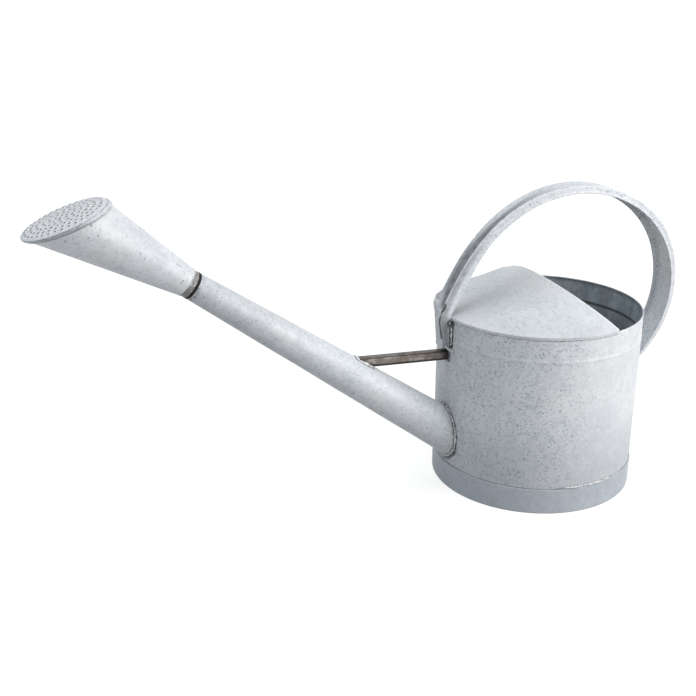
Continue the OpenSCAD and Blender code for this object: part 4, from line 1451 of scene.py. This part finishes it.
class WATERINGCAN_OT_rose(bpy.types.Operator):
    """Build the seal and the rose"""
    bl_idname = "wateringcan.rose"
    bl_label = "Rose"

    def execute(self, context):
        can, s = context.scene.can_sizes, context.scene.spout_sizes
        rose, colours = context.scene.rose_sizes, context.scene.metal_colours
        end, axis, upper, left, middle, normal, across = rose_frame(can, s, rose)

        def round_axis(name, profile):
            """A closed (radius, distance) outline carried round the spout's axis."""
            ring = spokes(-turns(120), upper, left)[:, None]
            return grid_object(name, end + profile[None, :, 1:] * axis
                               + profile[None, :, :1] * ring)

        w, r, bend = rose.seal_width, rose.seal_radius, 0.5 * MM
        bore = s.spigot_radius + 0.06 * MM
        seal = round_axis("seal_ring", np.concatenate([
            [[bore, CLEARANCE]], arc((r - bend, bend + CLEARANCE), bend, -90, 0, 5),
            arc((r - bend, w + CLEARANCE - bend), bend, 0, 90, 5), [[bore, w + CLEARANCE]]]))
        dress(sharpen(seal, 40), "rubber", "seal", "rose_seal",
              seal_rubber("seal rubber", colours.rubber))

        low, rows = w + 2 * CLEARANCE, 13
        face = np.column_stack([np.full(rows, rose.neck_radius),
                                low + np.linspace(0, rose.neck_length, rows)])
        neck = round_axis("rose_neck_sleeve", sheet_loop(face, np.array([[1.0, 0]] * rows),
                                                         0.65 * MM))
        below = (end - points_of(neck)) @ upper
        set_weight(neck, "soot_and_painted_shade", 0.42 * rise(below, -10, 6))
        dress(neck, "zinc", "rose", "rose_neck",
              solder_metal("neck metal", colours, 0.75, toned(colours.solder, 0.82),
                           (0.17, 0.155, 0.145), metallic=0.3))

        path = (end + (low + rose.neck_show - 0.7 * MM) * axis
                + (rose.neck_radius + 0.25 * MM) * spokes(turns(240), upper, left))
        solder = lumpy_bead("rose_neck_solder_bead", path, 0.6 * MM, 0.006, 81)
        below = (end - points_of(solder)) @ upper
        set_weight(solder, "soot_and_painted_shade", 0.8 * rise(below, -2, 5))
        dress(solder, "solder", "rose", "rose_neck_solder",
              solder_metal("rose solder metal", colours, 0.2))

        lilac = tuple(c * t for c, t in zip(colours.zinc, (1.0, 0.985, 0.985)))
        zinc = galvanised("zinc rose", colours, lilac, 0.55, 0.45, (0.9, 0.3, 0.6), blot=0.9,
                          fleck=(0.22, 0.25, 0.33))
        dress(self.cone(can, s, rose), "zinc", "rose", "rose_cone", zinc)
        grey = galvanised("zinc rose collar", colours, toned(colours.zinc, 0.90), 0.75, 1.0,
                          (0.4, 0.3, 0.1))
        dress(self.band(can, s, rose), "zinc", "rose", "rose_band", grey)
        dress(self.face(rose, middle, normal, across, left), "zinc", "rose", "rose_face", zinc)
        return {"FINISHED"}

    def cone(self, can, s, rose):
        """The oblique cone: straight lines from the round neck to the tilted round mouth."""
        a = -turns(180)
        u = np.linspace(0, 1, 64)[None, :, None]

        def skin(off):
            neck, mouth = cone_lines(can, s, rose, a, off)
            return neck[:, None] + u * (mouth - neck)[:, None]

        face = skin(0.0)
        normal = unit(np.cross(np.roll(face, -1, 0) - np.roll(face, 1, 0),
                               np.gradient(face, axis=1)))
        fade = ease(u, 0.05, 0.25) * (1 - ease(u, 0.8, 0.93))
        loop = np.concatenate([waved(face, 0.3, 0.07, 91, fade, normal),
                               skin(-rose.sheet)[:, ::-1]], 1)
        return sharpen(grid_object("rose_cone_shell", loop), 40)

    def band(self, can, s, rose):
        """The collar round the cone's mouth: the cone's own lines, moved out in a bulge, with a
        soft shoulder at its lower edge."""
        lines, a = 180, -turns(180)
        base, rim = cone_lines(can, s, rose, a, 0.0)
        full = np.linalg.norm(rim - base, axis=-1)[:, None]
        t = np.linspace(0, 1, 14)
        down = (rose.band + 0.6 * MM) * (1 - t) - 0.2 * MM * ease(t, 0.8, 1)
        out = 0.15 * MM + 2.1 * MM * np.clip(4 * t * (1 - t), 0, 1) ** 0.6
        out[-1] = CLEARANCE
        back = np.array([0.0, 2 * MM, rose.band])
        rows = []
        for d, off in zip(np.concatenate([down, back]), np.concatenate([out, 0 * back])):
            neck, mouth = cone_lines(can, s, rose, a, CLEARANCE + off)
            rows.append(mouth + (neck - mouth) * (d / full))
        collar = grid_object("rose_band_collar", np.stack(rows, 1))

        def round_collar(weight):
            """One weight for each row of the outer face, and none for the inner rows."""
            return np.tile(np.concatenate([weight, 0 * back]), lines)

        # Painted shade along both edges of the collar.
        edge = np.maximum(1 - ease(t, 0.05, 0.16), ease(t, 0.84, 0.95))
        set_weight(collar, "soot_and_painted_shade", round_collar(0.75 * edge))
        # Painted shade on the lower sides of the collar.
        _, y, z = points_of(collar).T
        under = 1 - ease((z - z.min()) / np.ptp(z), 0.52, 0.84)
        sides = ease(np.abs(y) / rose.face_radius, 0.40, 0.80)
        collar_shade = round_collar(0.52 + 0.22 * (1 - ease(t, 0.1, 0.75)))
        set_weight(collar, "dirt_and_painted_shade", collar_shade * (0.06 + 0.94 * under * sides))
        return sharpen(collar, 50)

    def face(self, rose, middle, normal, across, left):
        """The perforated face: a flat triangulation with a round gap at each hole, raised to a
        dome, with a burr round each hole, and given its thickness. Ring n holds 6n holes, one
        pitch further out. The dome is the cap of a ball, and its height sets the ball's
        radius."""
        sides, edge_r, edge_steps = 10, rose.face_radius, 160
        centres = np.concatenate([np.zeros((1, 2))] + [
            n * rose.hole_pitch * circle(turns(6 * n) + math.radians(7 * n))
            for n in range(1, rose.hole_rings + 1)])
        rim = rose.hole_radius * circle(turns(sides))
        holes, burrs, feet = ((centres[:, None] + grow * rim).reshape(-1, 2)
                              for grow in (1, 1.45, 2.3))
        edge_a = turns(edge_steps)
        rings = [circle(edge_a[::skip]) * edge_r * f
                 for skip, f in ((1, 1), (1, 0.975), (2, 0.945), (4, 0.91))]
        points = np.concatenate([holes, *rings, burrs, feet])
        count = len(holes)
        loops = [list(range(k, k + sides)) for k in range(0, count, sides)]
        outer = list(range(count, count + edge_steps))
        made = delaunay_2d_cdt([Vector(p) for p in points], [], [outer] + loops, 1, 1e-7)
        flat = np.array([tuple(p) for p in made[0]])
        faces = np.array([f for f in made[2] if len(f) == 3])

        def to_hole(spots):
            """The distance to the nearest hole's middle, in hole radii."""
            gaps = ((spots[:, None] - centres[None]) ** 2).sum(-1)
            return np.sqrt(gaps).min(-1) / rose.hole_radius

        faces = faces[to_hole(flat[faces].mean(1)) > 0.93]
        first, second = (flat[faces[:, k]] - flat[faces[:, 0]] for k in (1, 2))
        back = first[:, 0] * second[:, 1] - first[:, 1] * second[:, 0] < 0
        faces[back] = faces[back][:, ::-1]
        r = np.linalg.norm(flat, axis=-1)
        ball = (edge_r ** 2 + rose.dome ** 2) / (2 * rose.dome)
        size = to_hole(flat)
        height = (np.sqrt(ball ** 2 - r ** 2) - (ball - rose.dome)
                  - 0.45 * MM * ease(r, edge_r - 1.2 * MM, edge_r)
                  + 0.55 * MM * (1 - ease(size, 1.3, 2.2)) * ease(size, 0.6, 1.3))
        top = (middle + flat[:, :1] * across + flat[:, 1:] * left + height[:, None] * normal)
        n = len(flat)
        links = dict.fromkeys(link for tri in faces.tolist()
                              for link in zip(tri, tri[1:] + tri[:1]))
        rims = [(q, p, p + n, q + n) for p, q in links if (q, p) not in links]
        skin = faces.tolist() + (faces[:, ::-1] + n).tolist() + rims
        if np.dot(np.cross(across, left), normal) < 0:
            skin = [f[::-1] for f in skin]
        plate = new_object("rose_face_plate", np.concatenate([top, top - rose.sheet * normal]),
                           skin)
        # Painted shade round each hole and a painted highlight on each burr.
        set_weight(plate, "soot_and_painted_shade", 2.6 * np.tile(1 - ease(size, 1.1, 1.6), 2))
        set_weight(plate, "wear_and_painted_light", 0.9 * np.tile(1 - ease(size, 1.8, 2.5), 2))
        return sharpen(plate, 60)


class WATERINGCAN_OT_stage(bpy.types.Operator):
    """Set up the floor, the light and the camera"""
    bl_idname = "wateringcan.stage"
    bl_label = "Stage"

    def execute(self, context):
        scene, studio = context.scene, context.scene.studio
        scene.view_settings.view_transform = "Standard"
        self.world(scene, studio.world_light)
        self.floor()
        self.lamp("key light", (0.943, -1.145, 0.72), (0, 0, 0.12), 1.2, 26.0,
                  (1.0, 0.975, 0.95))
        self.lamp("top light", (-0.25, 0.1, 1.5), (-0.15, 0, 0.1), 1.1, 9.5, (1.0, 1.0, 1.0))
        self.lamp("low light", (-1.15, -0.15, 0.10), (-0.50, 0, 0.3), 0.6, 2.2,
                  (0.93, 0.97, 1.0))
        data = bpy.data.cameras.new("camera")
        data.lens, data.sensor_width = studio.lens, 36
        data.clip_start, data.clip_end = 0.01, 50
        camera = link_object("camera", data)
        camera.location = studio.camera_place
        camera.rotation_euler = (math.pi / 2 - studio.elevation, 0, -studio.azimuth)
        scene.camera = camera
        return {"FINISHED"}

    def world(self, scene, strength):
        """Even light from all round; the lens, gloss and glass see plain white."""
        scene.world = bpy.data.worlds.new("studio")
        scene.world.use_nodes = True
        g = Nodes(scene.world.node_tree)
        seen, sky = g.seen_directly(), g.tree.nodes["Background"]
        tint = g.mix(seen, (0.90, 0.965, 1.0), (1, 1, 1))
        g.tree.links.new(tint, sky.inputs["Color"])
        g.tree.links.new(g.level(seen, strength, 1.0), sky.inputs["Strength"])

    def floor(self):
        """A wide plain floor. Where the lens or a glossy face sees it, white is added, so that
        only the object's soft shadow reads on it, and it runs out into white further off."""
        corners = np.array([[-1, -1, 0], [1, -1, 0], [1, 1, 0], [-1, 1, 0]]) * 8.0
        floor = new_object("floor", corners, [(0, 1, 2, 3)], smooth=False)
        g = Graph("floor")
        for key, value in (("Base Color", (0.32, 0.32, 0.32, 1)), ("Roughness", 0.9),
                           ("Specular IOR Level", 0.0)):
            g.shader.inputs[key].default_value = value
        distance = g.add("VectorMath", {0: g.place}, operation="LENGTH").outputs["Value"]
        white = g.ramp(g.ramp(distance, 0.55, 1.3), 0.0, 1.0, 0.80, 1.1)
        glow = g.add("Emission", {"Strength": g.times(g.seen_directly(), white)})
        both = g.add("AddShader", {0: g.shader.outputs[0], 1: glow.outputs[0]})
        g.tree.links.new(both.outputs[0], g.tree.nodes["Material Output"].inputs["Surface"])
        floor.data.materials.append(g.material)

    def lamp(self, name, place, target, size, power, tint):
        """A square soft lamp that faces a point."""
        data = bpy.data.lights.new(name, "AREA")
        data.size, data.energy, data.color = size, power, tint
        lamp = link_object(name, data)
        lamp.location = place
        aim = Vector(target) - lamp.location
        lamp.rotation_euler = aim.to_track_quat("-Z", "Y").to_euler()


class WATERINGCAN_PT_build(bpy.types.Panel):
    """Builds the watering can piece by piece"""
    bl_idname = "WATERINGCAN_PT_build"
    bl_label = "Watering Can"
    bl_space_type = "VIEW_3D"
    bl_region_type = "UI"
    bl_category = "Watering Can"

    def draw(self, context):
        for name, _ in GROUPS:
            group = getattr(context.scene, name)
            box = self.layout.box()
            box.label(text=name.replace("_", " ").capitalize())
            for key in group.__annotations__:
                box.prop(group, key)
        for operator in OPERATORS:
            self.layout.operator(operator.bl_idname)


OPERATORS = (WATERINGCAN_OT_can, WATERINGCAN_OT_hood, WATERINGCAN_OT_handle,
             WATERINGCAN_OT_spout, WATERINGCAN_OT_brace, WATERINGCAN_OT_rose,
             WATERINGCAN_OT_stage)
CLASSES = tuple(group for _, group in GROUPS) + OPERATORS + (WATERINGCAN_PT_build,)


def register():
    """Adds the classes, and the settings to the scene."""
    for cls in CLASSES:
        bpy.utils.register_class(cls)
    for name, group in GROUPS:
        setattr(bpy.types.Scene, name, bpy.props.PointerProperty(type=group))


def unregister():
    """Takes the settings and the classes away again."""
    for name, _ in GROUPS:
        delattr(bpy.types.Scene, name)
    for cls in reversed(CLASSES):
        bpy.utils.unregister_class(cls)


def main():
    """Registers the classes and builds every piece and the stage."""
    register()
    bpy.ops.wateringcan.can()
    bpy.ops.wateringcan.hood()
    bpy.ops.wateringcan.handle()
    bpy.ops.wateringcan.spout()
    bpy.ops.wateringcan.brace()
    bpy.ops.wateringcan.rose()
    bpy.ops.wateringcan.stage()


if __name__ == "__main__":
    main()
